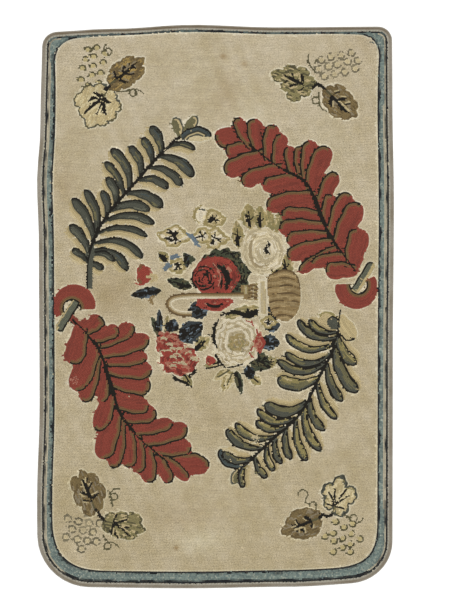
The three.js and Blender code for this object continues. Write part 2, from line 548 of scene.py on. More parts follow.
# Red plumes
# Two feather-like sprays of brick red lobes, head right and foot left, one turned half round from the
# other. Each lobe is hooked in rows that follow its front edge: black, then olive brown, then red.
# Each plume springs from a red crescent with a cut stub of stem in its open side.
BLACK = dye(23, 19, 11)
OLIVE_BROWN = dye(106, 86, 54)
RUSSET = dye(118, 78, 51)
BRICK_RED = dye(129, 60, 47)
DULL_RED = dye(119, 56, 44)
WORN_RED = dye(166, 112, 94)
STUB_GREEN = dye(92, 94, 78)
STUB_PALE = dye(172, 156, 114)
RED_EDGING = [BLACK, OLIVE_BROWN, RUSSET]
RED_BODY = [BRICK_RED, BRICK_RED, DULL_RED]
RED_GAP_YARNS, RED_GAP_SHARES = [DULL_RED, BRICK_RED], [0.6, 0.4]
RED_BOW = (0.02, 0.07)  # how far a lobe arches, as a share of its reach
RED_LINED = (0.85, 1.15)  # how much of its front edge has the dark rows
CURVE_PARTS = 12  # steps of a smooth curve from one of its given points to the next
LOBE_POINTS = 40
LOBE_CROWDING = 1.7  # above 1, a lobe's points lie closer together towards its tip
LOBE_WAVES = 2.4  # waves along a lobe's edge
SHADE_STRAY = 0.35  # how far a row's yarn strays from its place among those of the lobe's body
LOBE_GAP = 5  # half the widest gap between lobes that is filled with red
RIB_FILL = 36  # how far from the midrib the lobes run into one another
FOOT_FILL = 11  # the same at the foot of the midrib
JAG = 0.8  # how far the loops of an outline stray to either side
# The lobes on the right and left of each midrib: where along it they spring, from its foot at 0 to its
# tip at 1, where they aim, how far they reach and how wide they are.
RED_PLUMES = [
    {
        "crescent": (381, 51),
        "turn": 0,
        "midrib": [(-3, 45), (-50, 112), (-92, 185), (-133, 283), (-215, 330), (-290, 388)],
        "right": {
            "along": [0.03, 0.18, 0.24, 0.31, 0.4, 0.55, 0.59, 0.63, 0.69, 0.8, 0.85, 0.92, 0.98],
            "aim": [76, 63, 69, 82, 68, 67, 84, 94, 98, 79, 82, 100, 117],
            "reach": [106, 130, 128, 90, 118, 122, 116, 88, 75, 86, 96, 94, 88],
            "width": [60, 56, 49, 35, 43, 54, 45, 33, 35, 40, 45, 45, 35],
        },
        "left": {
            "along": [0.0, 0.11, 0.17, 0.2, 0.245, 0.3, 0.38, 0.5, 0.62, 0.765, 0.9, 0.98],
            "aim": [182, 196, 212, 195, 185, 180, 178, 193, 192, 200, 205, 196],
            "reach": [80, 92, 126, 137, 124, 130, 108, 132, 112, 116, 114, 73],
            "width": [49, 35, 33, 46, 45, 49, 44, 50, 46, 47, 52, 45],
        },
        "tip": {"aim": 165, "reach": 96, "width": 58},
    },
    {
        "crescent": (-382, 2),
        "turn": 180,
        "midrib": [(3, 36), (-59, 107), (-100, 215), (-119, 285), (-170, 352), (-254, 423)],
        "right": {
            "along": [0.07, 0.18, 0.22, 0.3, 0.42, 0.57, 0.6, 0.68, 0.78, 0.83, 0.89, 0.94],
            "aim": [75, 66, 76, 88, 75, 73, 84, 93, 90, 95, 118, 138],
            "reach": [102, 139, 150, 112, 137, 145, 152, 119, 98, 108, 102, 102],
            "width": [58, 60, 45, 33, 49, 58, 46, 43, 35, 45, 35, 32],
        },
        "left": {
            "along": [0.1, 0.16, 0.2, 0.25, 0.3, 0.34, 0.41, 0.54, 0.63, 0.74, 0.82, 0.88],
            "aim": [220, 203, 207, 198, 187, 178, 171, 174, 188, 194, 198, 184],
            "reach": [59, 78, 116, 139, 120, 126, 114, 92, 96, 110, 126, 108],
            "width": [45, 40, 45, 49, 38, 51, 56, 46, 49, 38, 51, 46],
        },
        "tip": {"aim": 176, "reach": 112, "width": 60},
    },
]
CRESCENT = {"radius": 57, "hole": 22, "hole_x": 6, "hole_y": 7, "start": 172, "end": 392}
STUB = {"root": np.array([-5, -10]), "aim": 58, "reach": 92, "width": 23}
WORN_LOBE = (-380, -200)  # where one lobe of the foot left plume has rubbed pale
WORN_RADIUS = 11
WORN_LOOPS, WORN_TURN = 12, 2.4  # pale loops, and the turn in radians from one to the next
WORN_SPREAD, FILL_SPREAD = 0.1, 0.08


def smooth(points, closed=False):
    """A smooth curve through a few points."""
    p = np.asarray(points, float)
    p = np.vstack([p[-1], p, p[:2]]) if closed else np.vstack([2 * p[0] - p[1], p, 2 * p[-1] - p[-2]])
    t = np.linspace(0, 1, CURVE_PARTS, endpoint=False)[:, None]
    spans = [
        0.5 * (2 * b + (c - a) * t + (2 * a - 5 * b + 4 * c - d) * t**2 + (3 * b - a - 3 * c + d) * t**3)
        for a, b, c, d in zip(p, p[1:], p[2:], p[3:])
    ]
    curve = np.vstack(spans)
    return curve if closed else np.vstack([curve, p[-2]])


def heading(degrees):
    """A step of 1 in a direction."""
    return np.array([math.cos(math.radians(degrees)), math.sin(math.radians(degrees))])


def on_circle(turns):
    """Points round a circle with a radius of 1, at turns in radians."""
    return np.column_stack([np.cos(turns), np.sin(turns)])


def set_down(points, place, turn):
    """Points of a motif turned by an angle in degrees and moved to their place on the rug."""
    ahead = heading(turn)
    return np.asarray(points, float) @ np.array([ahead, [-ahead[1], ahead[0]]]) + place


def lobe(root, aim, reach, width, front, bow, belly, waist, wave=0.05):
    """The front and back edges of a lobe from its root to its tip. The front is on its left at +1 and
    on its right at -1, bow pushes its middle to the front, it is widest at belly and its edges wave."""
    t = (1 - (1 - np.linspace(0, 1, LOBE_POINTS)) ** LOBE_CROWDING)[:, None]
    along = heading(aim)
    across = front * np.array([-along[1], along[0]])
    axis = root + reach * (t * along + 4 * bow * t * (1 - t) * across)
    slope = along + 4 * bow * (1 - 2 * t) * across
    normal = front * np.column_stack([-slope[:, 1], slope[:, 0]])
    normal /= np.linalg.norm(normal, axis=1, keepdims=True)
    swell = waist + (1 - waist) * np.sin(np.pi / 2 * np.minimum(t / belly, 1))
    close = np.sqrt(np.clip(1 - (np.maximum(t - belly, 0) / (1 - belly)) ** 2, 0, 1))
    half = width / 2 * swell * close
    front_wave, back_wave = 1 + wave * np.sin(2 * np.pi * (LOBE_WAVES * t + rng.random(2)).T)[:, :, None]
    return axis + half * front_wave * normal, axis - half * back_wave * normal


def hook_rows(piece, path, side, inside, yarns, rows=16):
    """Hooks rows beside a path, to its left where side is +1, as far as an area goes: a yarn for each
    row, and the last one for the rest."""
    trace, _ = evenly(path, FINE_TRACE)
    for row in range(rows):
        away = (row + 0.5) * ROW
        points, angles = evenly(beside(trace, side * away), STEP)
        apart = np.hypot(points[:, :1] - trace[:, 0], points[:, 1:] - trace[:, 1]).min(axis=1)
        kept = (apart > away - ROW / 4) & inside[cells(points)]
        if not kept.any():
            break
        if row == 0:
            points = aside(points, angles, rng.uniform(-JAG, JAG, (len(points), 1)))
        hook(piece, points[kept], angles[kept], yarns[min(row, len(yarns) - 1)])


motif_outlines = []  # what the ground's first row follows
motifs = np.zeros(taken.shape, bool)  # where the ground is not hooked


def keep_outline(outline):
    """Keeps the ground out of a motif, and has its first row follow the outline."""
    motif_outlines.append(outline)
    motifs[area(outline)] = True


def shaded(yarns, place, count, run=6):
    """Yarns for one row of a lobe, by its place between the front edge at 0 and the back edge at 1."""
    picks = place * (len(yarns) - 1) + rng.normal(0, SHADE_STRAY, count // run + 2)
    picks = np.clip(np.rint(picks), 0, len(yarns) - 1).astype(int)
    return np.array(yarns)[np.repeat(picks, run)[rng.integers(run) :][:count]]


def hook_lobe(piece, edges, front, yarns, body, lined=1.0, back=None):
    """Hooks a lobe: a row of each yarn from its front edge on, along a share of that edge that can go on
    over the tip, a row along its back edge, and the rest along its middle in the yarns of its body."""
    front_edge, back_edge = edges
    outline = np.vstack([front_edge, back_edge[::-1]])
    inside = area(outline)
    path = outline[: int(len(front_edge) * lined)]
    hook_rows(piece, path, -front, inside, yarns, rows=len(yarns))
    hook_rows(piece, outline[::-1], front, inside, [body[0] if back is None else back], rows=1)
    middle = (front_edge + back_edge) / 2
    half_width = np.hypot(*(front_edge - back_edge).T).max() / 2
    for away in np.arange(-half_width, half_width + ROW, ROW):
        points, angles = evenly(beside(middle, -front * away), STEP)
        kept = inside[cells(points)]
        place = 0.5 + 0.5 * away / half_width
        hook(piece, points[kept], angles[kept], shaded(body, place, kept.sum()))
    keep_outline(outline)


def widened(part, by):
    """An area grown by some millimetres all round."""
    for _ in range(by):
        grown = part.copy()
        grown[1:] |= part[:-1]
        grown[:-1] |= part[1:]
        grown[:, 1:] |= part[:, :-1]
        grown[:, :-1] |= part[:, 1:]
        part = grown
    return part


def hook_area(piece, inside, aim, yarns, shares, run=5):
    """Fills an area with rows in one direction, in several yarns."""
    rows, columns = np.nonzero(inside)
    spots = np.column_stack([columns - GRID_X, rows - GRID_Y])
    along, across = heading(aim), heading(aim + 90)
    middle = spots.mean(axis=0)
    reach = np.hypot(*(spots - middle).T).max() + ROW
    for away in np.arange(-reach, reach, ROW):
        row = middle + np.outer(np.arange(-reach, reach, STEP), along) + away * across
        row = row[inside[cells(row)]]
        colours = mixed(yarns, shares, len(row), run)
        hook(piece, row, np.full(len(row), math.radians(aim)), colours, FILL_SPREAD)


# Where a gap looks for the colour of a loop, from the nearest places on.
NEARBY = [(0, 4), (4, 0), (0, -4), (-4, 0), (4, 4), (-4, -4), (0, 7), (7, 0), (0, -7), (-7, 0)]


def fill_gaps(piece, part):
    """Hooks a loop into every gap that is left in a part of the pattern, in the colour of one close by."""
    for row, column in np.argwhere(part & ~taken):
        if not taken[row, column]:
            for dy, dx in NEARBY:
                colour = dyed[row + dy, column + dx]
                if colour.any():
                    break
            hook(piece, np.array([[column - GRID_X, row - GRID_Y]], float), np.zeros(1), colour)


def leaves_of(rib, right, left):
    """The leaves of a plume's two sides, from its foot to its tip: each one's root on the midrib, where it
    aims, how far it reaches, how wide it is and the side that its front is on."""
    leaves = []
    for side, front in ((right, 1), (left, -1)):
        rows = zip(side["along"], side["aim"], side["reach"], side["width"])
        leaves += [(*row, front) for row in rows]
    leaves.sort(key=lambda leaf: leaf[0])
    return [(rib[int(along * (len(rib) - 1))], *rest) for along, *rest in leaves]


def worn_spot(piece, middle, yarn):
    """Pale loops scattered round the middle of a spot that has rubbed bare."""
    turns = np.arange(WORN_LOOPS) * WORN_TURN
    away = WORN_RADIUS * np.sqrt((np.arange(WORN_LOOPS) + 0.5) / WORN_LOOPS)
    points = middle + away[:, None] * on_circle(turns)
    hook(piece, points, np.zeros(WORN_LOOPS), yarn, WORN_SPREAD)


def red_crescent(place, turn):
    """A ring of red, open on one side, with a stub of cut stem lying in the opening."""
    stub = set_down(lobe(**STUB, front=1, bow=0, belly=0.9, waist=0.95), place, turn).reshape(2, -1, 2)
    hook_lobe("red_plumes", stub, 1, [BLACK, STUB_GREEN, STUB_GREEN, STUB_GREEN], [STUB_PALE])
    turns = np.radians(np.linspace(CRESCENT["start"], CRESCENT["end"], 60))
    ring = on_circle(turns)
    inner = set_down((CRESCENT["hole_x"], CRESCENT["hole_y"]) + CRESCENT["hole"] * ring, place, turn)
    outer = set_down(CRESCENT["radius"] * ring, place, turn)
    outline = np.vstack([inner, outer[::-1]])
    hook_rows("red_plumes", inner, -1, area(outline), [*RED_EDGING, BRICK_RED])
    keep_outline(outline)


def red_plume(crescent, turn, midrib, right, left, tip):
    """A midrib with lobes on both sides and one at its tip. The lobes run into one another beside it."""
    others = motifs.copy()
    rib, _ = evenly(set_down(smooth(midrib), np.array(crescent), turn), TRACE)
    hook_line("red_plumes", rib, BLACK)
    hook_line("red_plumes", beside(rib[len(rib) // 6 : -len(rib) // 4], ROW), BLACK)
    hook_line("red_plumes", beside(rib[len(rib) // 3 : -len(rib) // 2], -ROW), BLACK)
    worn_spot("red_plumes", WORN_LOBE, WORN_RED)
    for root, aim, reach, width, front in leaves_of(rib, right, left):
        bow = rng.uniform(*RED_BOW)
        edges = lobe(root, aim + turn, reach, width, front, bow, belly=0.76, waist=0.66)
        hook_lobe("red_plumes", edges, front, RED_EDGING, RED_BODY, lined=rng.uniform(*RED_LINED))
    edges = lobe(rib[-1], tip["aim"] + turn, tip["reach"], tip["width"], 1, bow=0, belly=0.6, waist=0.6)
    hook_lobe("red_plumes", edges, 1, RED_EDGING, [BRICK_RED])
    by_foot, by_rib = np.zeros((2, *taken.shape), bool)
    by_foot[cells(rib[: len(rib) // 8])] = True
    by_rib[cells(rib[len(rib) // 10 : -len(rib) // 12])] = True
    own = motifs & ~others | widened(by_foot, FOOT_FILL) | widened(by_rib, RIB_FILL)
    gaps = ~widened(~widened(own, LOBE_GAP), LOBE_GAP) & ~motifs
    motifs[gaps] = True
    hook_area("red_plumes", gaps, turn + 130, RED_GAP_YARNS, RED_GAP_SHARES)


for plume in RED_PLUMES:
    red_crescent(plume["crescent"], plume["turn"])
    red_plume(**plume)
fill_gaps("red_plumes", motifs)
pile("red_plumes")

# Green plumes
# Two fern-like sprays of narrow arching leaflets, head left and foot right, one turned half round from
# the other. A leaflet has a black front edge, a slate green body and a straw-coloured shade behind it.
SLATE_DARK = dye(54, 55, 46)
SLATE = dye(76, 77, 66)
SLATE_LIGHT = dye(98, 98, 82)
SLATE_BLUE = dye(66, 74, 72)
FERN_OLIVE = dye(104, 99, 70)
FERN_GOLD = dye(138, 127, 82)
STRAW = dye(177, 161, 121)
STRAW_PALE = dye(187, 173, 138)
STRAW_DEEP = dye(156, 141, 103)
# The leaflets on the right and left of each midrib, in the same columns as the red lobes, and the buds.
# A bud's last yarn is that of its body, and the others edge it.
GREEN_PLUMES = [
    {
        "foot": (-347, 50),
        "turn": 0,
        "midrib": [(0, 0), (6, 90), (50, 187), (132, 284), (200, 360), (252, 407)],
        "right": {
            "along": [0.13, 0.17, 0.205, 0.24, 0.305, 0.375, 0.45, 0.58, 0.67, 0.77, 0.85, 0.92],
            "aim": [-20, -10, -28, -15, -3, -2, 1, -22, -15, -30, -32, -6],
            "reach": [44, 70, 114, 140, 136, 138, 106, 104, 84, 100, 106, 70],
            "width": [20, 18, 25, 22, 19, 24, 28, 30, 25, 26, 30, 18],
        },
        "left": {
            "along": [0.14, 0.18, 0.26, 0.29, 0.4, 0.48, 0.56, 0.6, 0.69, 0.79, 0.86],
            "aim": [141, 123, 117, 104, 99, 107, 120, 114, 110, 111, 111],
            "reach": [56, 98, 130, 130, 76, 82, 106, 123, 90, 77, 82],
            "width": [20, 28, 28, 26, 25, 26, 23, 28, 26, 25, 28],
        },
        "tip": {"aim": 2, "reach": 84, "width": 40},
        "buds": [
            {"along": 1, "aim": 108, "reach": 56, "width": 28, "yarns": [SLATE, STRAW, FERN_OLIVE]},
            {"along": 1, "aim": 54, "reach": 72, "width": 30, "yarns": [SLATE, STRAW, FERN_OLIVE]},
        ],
        "edging": [BLACK, SLATE_DARK],
        "bodies": [[SLATE, SLATE, SLATE_LIGHT], [SLATE_BLUE, SLATE, FERN_OLIVE]],
        "back": SLATE_DARK,
        "stem_rows": 3,
    },
    {
        "foot": (338, -10),
        "turn": 180,
        "midrib": [(0, 0), (16, 90), (60, 182), (112, 280), (190, 352), (262, 420)],
        "right": {
            "along": [0.12, 0.15, 0.18, 0.24, 0.3, 0.38, 0.52, 0.62, 0.7, 0.77, 0.87, 0.94],
            "aim": [-24, -26, -10, -2, -5, 1, 3, -12, -13, -18, -29, -12],
            "reach": [84, 114, 134, 122, 130, 110, 114, 108, 82, 114, 108, 80],
            "width": [23, 25, 25, 24, 26, 38, 36, 26, 25, 26, 28, 27],
        },
        "left": {
            "along": [0.125, 0.17, 0.28, 0.39, 0.47, 0.54, 0.62, 0.69, 0.755, 0.82, 0.92, 0.97],
            "aim": [121, 114, 111, 116, 110, 109, 104, 97, 98, 103, 119, 81],
            "reach": [100, 150, 118, 120, 110, 133, 122, 92, 82, 80, 70, 72],
            "width": [32, 36, 26, 24, 25, 28, 25, 23, 21, 22, 22, 20],
        },
        "tip": {"aim": -36, "reach": 78, "width": 46},
        "buds": [
            {"along": 1, "aim": 60, "reach": 58, "width": 26, "yarns": [SLATE, STRAW, FERN_OLIVE]},
            {"along": 0.1, "aim": -46, "reach": 38, "width": 32, "yarns": [BLACK, SLATE, SLATE]},
            {"along": 0.08, "aim": -26, "reach": 56, "width": 36, "yarns": [FERN_GOLD, STRAW]},
            {"along": 0.03, "aim": 122, "reach": 76, "width": 46, "yarns": [BLACK, STRAW]},
        ],
        "edging": [BLACK, SLATE],
        "bodies": [[SLATE, SLATE, FERN_OLIVE, FERN_GOLD], [SLATE, FERN_OLIVE, FERN_GOLD, STRAW]],
        "back": BLACK,
        "stem_rows": 0,
    },
]
GREEN_TIP_EDGING = [BLACK, SLATE_BLUE, SLATE_BLUE, SLATE_DARK, STRAW, SLATE]
GREEN_LINED = (1.0, 1.2)
WORN_RIB = (110, -358)  # where the foot right plume has lost its dark wool
SHADE_ROWS = [
    {"yarn": STRAW_DEEP, "start": 0.06, "end": 0.96},
    {"yarn": STRAW, "start": 0.1, "end": 0.92},
    {"yarn": STRAW, "start": 0.16, "end": 0.84},
    {"yarn": STRAW_PALE, "start": 0.2, "end": 0.78},
]
RIGHT_BOW, LEFT_BOW = 0.19, 0.13  # how far a leaflet arches, as a share of its reach
BOW_VARIETY = (0.75, 1.3)


def leaflet_shade(back_edge, front):
    """Rows of straw yarn behind a leaflet, each shorter than the one before."""
    trace, _ = evenly(back_edge, FINE_TRACE)
    for i, row in enumerate(SHADE_ROWS):
        part = trace[int(row["start"] * len(trace)) : int(row["end"] * len(trace))]
        if len(part) > 4:
            points, angles = evenly(beside(part, -front * (i + 0.5) * ROW), STEP)
            clear = ~motifs[cells(points)]
            hook("green_plumes", points[clear], angles[clear], row["yarn"])


def green_plume(foot, turn, midrib, right, left, tip, buds, edging, bodies, back, stem_rows):
    """A midrib with arching leaflets on both sides, a folded tip, buds, and a stem below the leaflets."""
    rib, _ = evenly(set_down(smooth(midrib), np.array(foot), turn), TRACE)
    worn_spot("green_plumes", WORN_RIB, STRAW_PALE)
    hook_line("green_plumes", rib, BLACK)
    hook_line("green_plumes", beside(rib[len(rib) // 5 :], ROW), BLACK)
    for row in range(stem_rows):
        hook_line("green_plumes", beside(rib[: len(rib) // 4 - 6 * row], -(row + 1) * ROW), SLATE)
    shades = []
    for root, aim, reach, width, front in leaves_of(rib, right, left):
        bow = (RIGHT_BOW if front == 1 else LEFT_BOW) * rng.uniform(*BOW_VARIETY)
        edges = lobe(root, aim + turn, reach, width, front, bow, belly=0.78, waist=0.34, wave=0.07)
        body = bodies[rng.integers(len(bodies))]
        hook_lobe("green_plumes", edges, front, edging, body, rng.uniform(*GREEN_LINED), back)
        shades.append((edges[1], front))
    edges = lobe(rib[-1], tip["aim"] + turn, tip["reach"], tip["width"], 1, bow=0.1, belly=0.55, waist=0.3)
    hook_lobe("green_plumes", edges, 1, GREEN_TIP_EDGING, [STRAW_PALE])
    for bud in buds:
        root = rib[int(bud["along"] * (len(rib) - 1))]
        aim = bud["aim"] + turn
        edges = lobe(root, aim, bud["reach"], bud["width"], -1, bow=0.06, belly=0.6, waist=0.4)
        hook_lobe("green_plumes", edges, -1, bud["yarns"][:-1], bud["yarns"][-1:])
    for back_edge, front in shades:
        leaflet_shade(back_edge, front)


for plume in GREEN_PLUMES:
    green_plume(**plume)
fill_gaps("green_plumes", motifs)
pile("green_plumes")

# Corner sprays
# In each corner a bunch of grapes points out to the corner, with two vine leaves and curling tendrils
# springing from the same joint. Some leaves are brown all over, others are pale with a dark outline.
VINE_BROWN = dye(116, 99, 64)
VINE_UMBER = dye(98, 82, 52)
MUSTARD = dye(150, 126, 74)
VINE_OLIVE = dye(84, 79, 54)
VINE_GREY = dye(132, 120, 96)
MOSS = dye(130, 121, 82)
PALE_LEAF = dye(176, 161, 122)
STRAW_LIGHT = dye(196, 183, 146)
GRAPE_PALE = dye(178, 164, 119)
GRAPE_GREY = dye(116, 108, 86)
VINE_LOOKS = {
    "brown": {"rims": [[VINE_BROWN, VINE_UMBER]], "light": PALE_LEAF, "tooth": 0.03,
              "body": [VINE_BROWN, VINE_UMBER, VINE_GREY], "shares": [0.6, 0.2, 0.2]},
    "mustard": {"rims": [[VINE_BROWN, VINE_UMBER]], "light": VINE_GREY, "tooth": 0.05,
                "body": [VINE_BROWN, VINE_UMBER, MUSTARD], "shares": [0.4, 0.25, 0.35]},
    "olive": {"rims": [[VINE_OLIVE, MOSS]], "light": STRAW, "tooth": 0.05,
              "body": [MOSS, VINE_OLIVE, STRAW], "shares": [0.55, 0.25, 0.2]},
    "pale": {"rims": [[VINE_OLIVE, SLATE]], "light": STRAW_LIGHT, "tooth": 0.04,
             "body": [PALE_LEAF, STRAW, STRAW_LIGHT], "shares": [0.45, 0.25, 0.3]},
    "slate": {"rims": [[SLATE_DARK, SLATE], [SLATE, MOSS, PALE_LEAF]], "light": STRAW_LIGHT, "tooth": 0.07,
              "body": [PALE_LEAF, STRAW_LIGHT], "shares": [0.5, 0.5]},
}
# Each corner's joint, its two leaves, its bunch of grapes and its tendrils. Places are measured from the
# joint. A leaf has so many lobes, parted so deep. A bunch's rows are turned, and its grapes' dark caps
# start at an angle and go so far round. A tendril runs out along a stem, curls round so many degrees, to
# the right where that is negative, and ends in a tail that bends so many degrees.
CORNER_SPRAYS = [
    {
        "joint": (-300, 591),
        "leaves": [
            {"at": (55, 40), "aim": 38, "size": (120, 78), "lobes": 7, "depth": 0.14,
             "veins": "fishbone", "look": "mustard"},
            {"at": (-15, -50), "aim": 242, "size": (118, 124), "lobes": 9, "depth": 0.12,
             "veins": "fan", "look": "pale"},
        ],
        "bunch": {"middle": (-31, 58), "reach": (46, 58), "turn": 80, "pitch": 27, "radius": 8.6,
                  "cap": (-15, 210), "yarn": VINE_OLIVE, "fill": GRAPE_PALE},
        "tendrils": [
            {"root": (-4, 69), "aim": 70, "stem": 30, "curl": -300, "tail": 32, "bend": -110},
            {"root": (28, -10), "aim": -4, "stem": 48, "curl": -370, "tail": 32, "bend": -60},
        ],
    },
    {
        "joint": (278, 604),
        "leaves": [
            {"at": (-62, 2), "aim": 158, "size": (116, 98), "lobes": 7, "depth": 0.22,
             "veins": "fishbone", "look": "olive"},
            {"at": (58, -50), "aim": -41, "size": (116, 78), "lobes": 9, "depth": 0.13,
             "veins": "fishbone", "look": "brown"},
        ],
        "bunch": {"middle": (54, 50), "reach": (57, 44), "turn": 12, "pitch": 27.5, "radius": 9.6,
                  "cap": (85, 290), "yarn": GRAPE_GREY, "fill": STRAW_PALE},
        "tendrils": [
            {"root": (-8, 30), "aim": 130, "stem": 14, "curl": 0, "tail": 38, "bend": -50},
            {"root": (-13, 44), "aim": 5, "stem": 12, "curl": 240, "tail": 4, "bend": 20},
            {"root": (2, -25), "aim": -100, "stem": 20, "curl": -380, "tail": 46, "bend": 100},
        ],
    },
    {
        "joint": (-316, -560),
        "leaves": [
            {"at": (-27, 60), "aim": 109, "size": (124, 88), "lobes": 7, "depth": 0.2,
             "veins": "fishbone", "look": "brown"},
            {"at": (66, -31), "aim": -13, "size": (112, 84), "lobes": 7, "depth": 0.16,
             "veins": "thin fan", "look": "olive"},
        ],
        "bunch": {"middle": (-42, -46), "reach": (51, 51), "turn": 52, "pitch": 28, "radius": 9.6,
                  "cap": (0, 340), "yarn": GRAPE_GREY, "fill": STRAW_PALE},
        "tendrils": [
            {"root": (38, 20), "aim": 90, "stem": 24, "curl": -360, "tail": 42, "bend": -130},
            {"root": (13, -58), "aim": -62, "stem": 30, "curl": -290, "tail": 40, "bend": -85},
        ],
    },
    {
        "joint": (297, -563),
        "leaves": [
            {"at": (-59, -26), "aim": 200, "size": (108, 86), "lobes": 9, "depth": 0.1,
             "veins": "fishbone", "look": "brown"},
            {"at": (31, 50), "aim": 76, "size": (112, 100), "lobes": 5, "depth": 0.3,
             "veins": "thin fan", "look": "slate"},
        ],
        "bunch": {"middle": (47, -62), "reach": (54, 46), "turn": -34, "pitch": 27, "radius": 8.8,
                  "cap": (195, 225), "yarn": VINE_OLIVE, "fill": GRAPE_PALE},
        "tendrils": [
            {"root": (-26, 15), "aim": 85, "stem": 8, "curl": 250, "tail": 2, "bend": 0},
            {"root": (-42, 26), "aim": 140, "stem": 10, "curl": -100, "tail": 52, "bend": 230},
            {"root": (50, 2), "aim": -30, "stem": 26, "curl": 360, "tail": 40, "bend": 120},
        ],
    },
]
# Veins spread from a leaf's hub like a fan, or leave one long middle vein like the bones of a fish. Each
# starts so far from the hub and is so long, both as a share of half the leaf's length.
VEINS = {
    "fan": {
        "start": [0, 0, 0, 0.2, 0, 0],
        "turn": [-86, -50, -20, 6, 30, 80],
        "length": [0.5, 0.84, 1.1, 0.62, 0.76, 0.4],
        "rows": [2, 2, 2, 1, 2, 2],
    },
    "fishbone": {
        "start": [0, 0.06, 0.14, 0.36, 0.52, 0.7, 0.86],
        "turn": [0, 66, -58, 48, -50, 44, -42],
        "length": [1.12, 0.34, 0.44, 0.42, 0.4, 0.3, 0.22],
        "rows": [2, 1, 2, 2, 1, 1, 1],
    },
}
VEINS["thin fan"] = dict(VEINS["fan"], rows=[1, 1, 1, 1, 1, 1])
LOBE_VARIETY = 0.07  # how much a leaf's lobes differ in size
LEAF_BASE, LEAF_HUB = 0.86, 0.5  # where a leaf's stem and veins start, back from its middle
LEAF_TIP, LEAF_TIP_BREADTH = 0.12, 0.2
NOTCH_SHARPNESS = 0.6
TEETH_A_LOBE = 3
VEIN_STRAY = 6  # degrees that a vein strays from its direction
VEIN_VARIETY = (0.85, 1.1)  # how much veins differ in length
VEIN_JAG, STEM_JAG = 2.5, 2
BESIDE_VEIN = 1.3  # rows from a vein to the pale stroke beside it
GRAPE_GAPS = 0.08  # the share of loops that a grape's worn outline has lost
GRAPE_STEP = 220  # degrees from loop to loop round a grape with a radius of 1
GRAPE_ROW_PITCH = 0.86  # from row to row of a bunch, as a share of its pitch
GRAPE_STRAY, CAP_STRAY = 1.8, 12
GRAPE_SPREAD = 0.15
TENDRIL_CURL = 9.5
STEM_SWAY = -0.06  # how far a tendril's stem bends the other way, as a share of its curl


def hook_rim(piece, outline, rims):
    """Hooks rows just inside a closed outline, from the outermost inwards, each in yarns of its own."""
    line = evenly(outline, TRACE, closed=True)[0]
    left = np.sign(enclosed(line))
    for row, yarns in enumerate(rims):
        inset = beside(line, left * (row + 0.5) * ROW, closed=True)
        points, angles = evenly(inset, STEP, closed=True)
        colours = mixed(yarns, np.full(len(yarns), 1 / len(yarns)), len(points), run=2)
        hook(piece, points, angles, colours)


def hook_patch(piece, outline, aim, yarns, shares, run=5):
    """Fills an outline with rows in one direction, in several yarns."""
    hook_area(piece, area(outline), aim, yarns, shares, run)
    keep_outline(outline)


def stroke(piece, path, yarn, rows=1):
    """Hooks a line along a curve, thicker in its middle where it has several rows."""
    trace = evenly(smooth(path), FINE_TRACE)[0]
    for i in range(rows):
        cut = i * len(trace) // (2 * rows + 2)
        away = (i + 1) // 2 * ROW * (-1) ** i
        hook_line(piece, beside(trace[cut : len(trace) - cut], away), yarn)


def vine_leaf(joint, at, aim, size, lobes, depth, veins, look):
    """A vine leaf on its stem: rounded lobes with notches between them, a finely toothed edge, a pointed
    tip, and jagged black veins with pale strokes beside them."""
    yarns = VINE_LOOKS[look]
    middle = joint + at
    half_length, half_breadth = size[0] / 2, size[1] / 2
    along, across = heading(aim), heading(aim + 90)
    base, hub = middle - LEAF_BASE * half_length * along, middle - LEAF_HUB * half_length * along
    turns = np.radians(np.arange(-180, 180, 2))
    sizes = rng.normal(1, LOBE_VARIETY, lobes)[np.rint(turns * lobes / (2 * np.pi)).astype(int) % lobes]
    share = sizes * (1 - depth + depth * np.abs(np.cos(lobes / 2 * turns)) ** NOTCH_SHARPNESS)
    teeth = np.abs(np.cos(TEETH_A_LOBE * lobes / 2 * turns + rng.uniform(0, 3)))
    share += yarns["tooth"] * (teeth - 0.5)
    share += LEAF_TIP * np.exp(-((turns / LEAF_TIP_BREADTH) ** 2))
    outline = middle + np.outer(half_length * share * np.cos(turns), along)
    outline += np.outer(half_breadth * share * np.sin(turns), across)
    stroke("corner_sprays", [joint, 0.5 * (base + joint) + rng.normal(0, STEM_JAG, 2), base], BLACK, rows=2)
    stroke("corner_sprays", [base, hub], VINE_OLIVE)
    table = VEINS[veins]
    for from_hub, turn, length, rows in zip(table["start"], table["turn"], table["length"], table["rows"]):
        start = hub + from_hub * half_length * along
        way = heading(aim + turn + rng.normal(0, VEIN_STRAY))
        end = start + length * half_length * rng.uniform(*VEIN_VARIETY) * way
        bend = 0.5 * (start + end) + rng.normal(0, VEIN_JAG, 2)
        stroke("corner_sprays", [start, bend, end], BLACK, rows)
        beside_vein = BESIDE_VEIN * ROW * np.array([-way[1], way[0]])
        stroke("corner_sprays", [bend + beside_vein, end + beside_vein], yarns["light"])
    hook_rim("corner_sprays", outline, yarns["rims"])
    hook_patch("corner_sprays", outline, aim, yarns["body"], yarns["shares"], run=3)


def grape(centre, radius, cap, yarn, fill):
    """A grape: a dark cap round part of its edge, and pale wool inside it."""
    start = cap[0] + rng.normal(0, CAP_STRAY)
    turns = np.radians(np.arange(start, start + cap[1], GRAPE_STEP / radius))
    turns = turns[rng.random(len(turns)) > GRAPE_GAPS]
    around = centre + radius * on_circle(turns)
    hook("corner_sprays", around, turns + np.pi / 2, yarn, GRAPE_SPREAD)
    inside = centre + 0.5 * radius * on_circle(np.radians(np.arange(0, 360, 60)))
    inside = np.vstack([inside, [centre]])
    hook("corner_sprays", inside, np.zeros(len(inside)), fill)


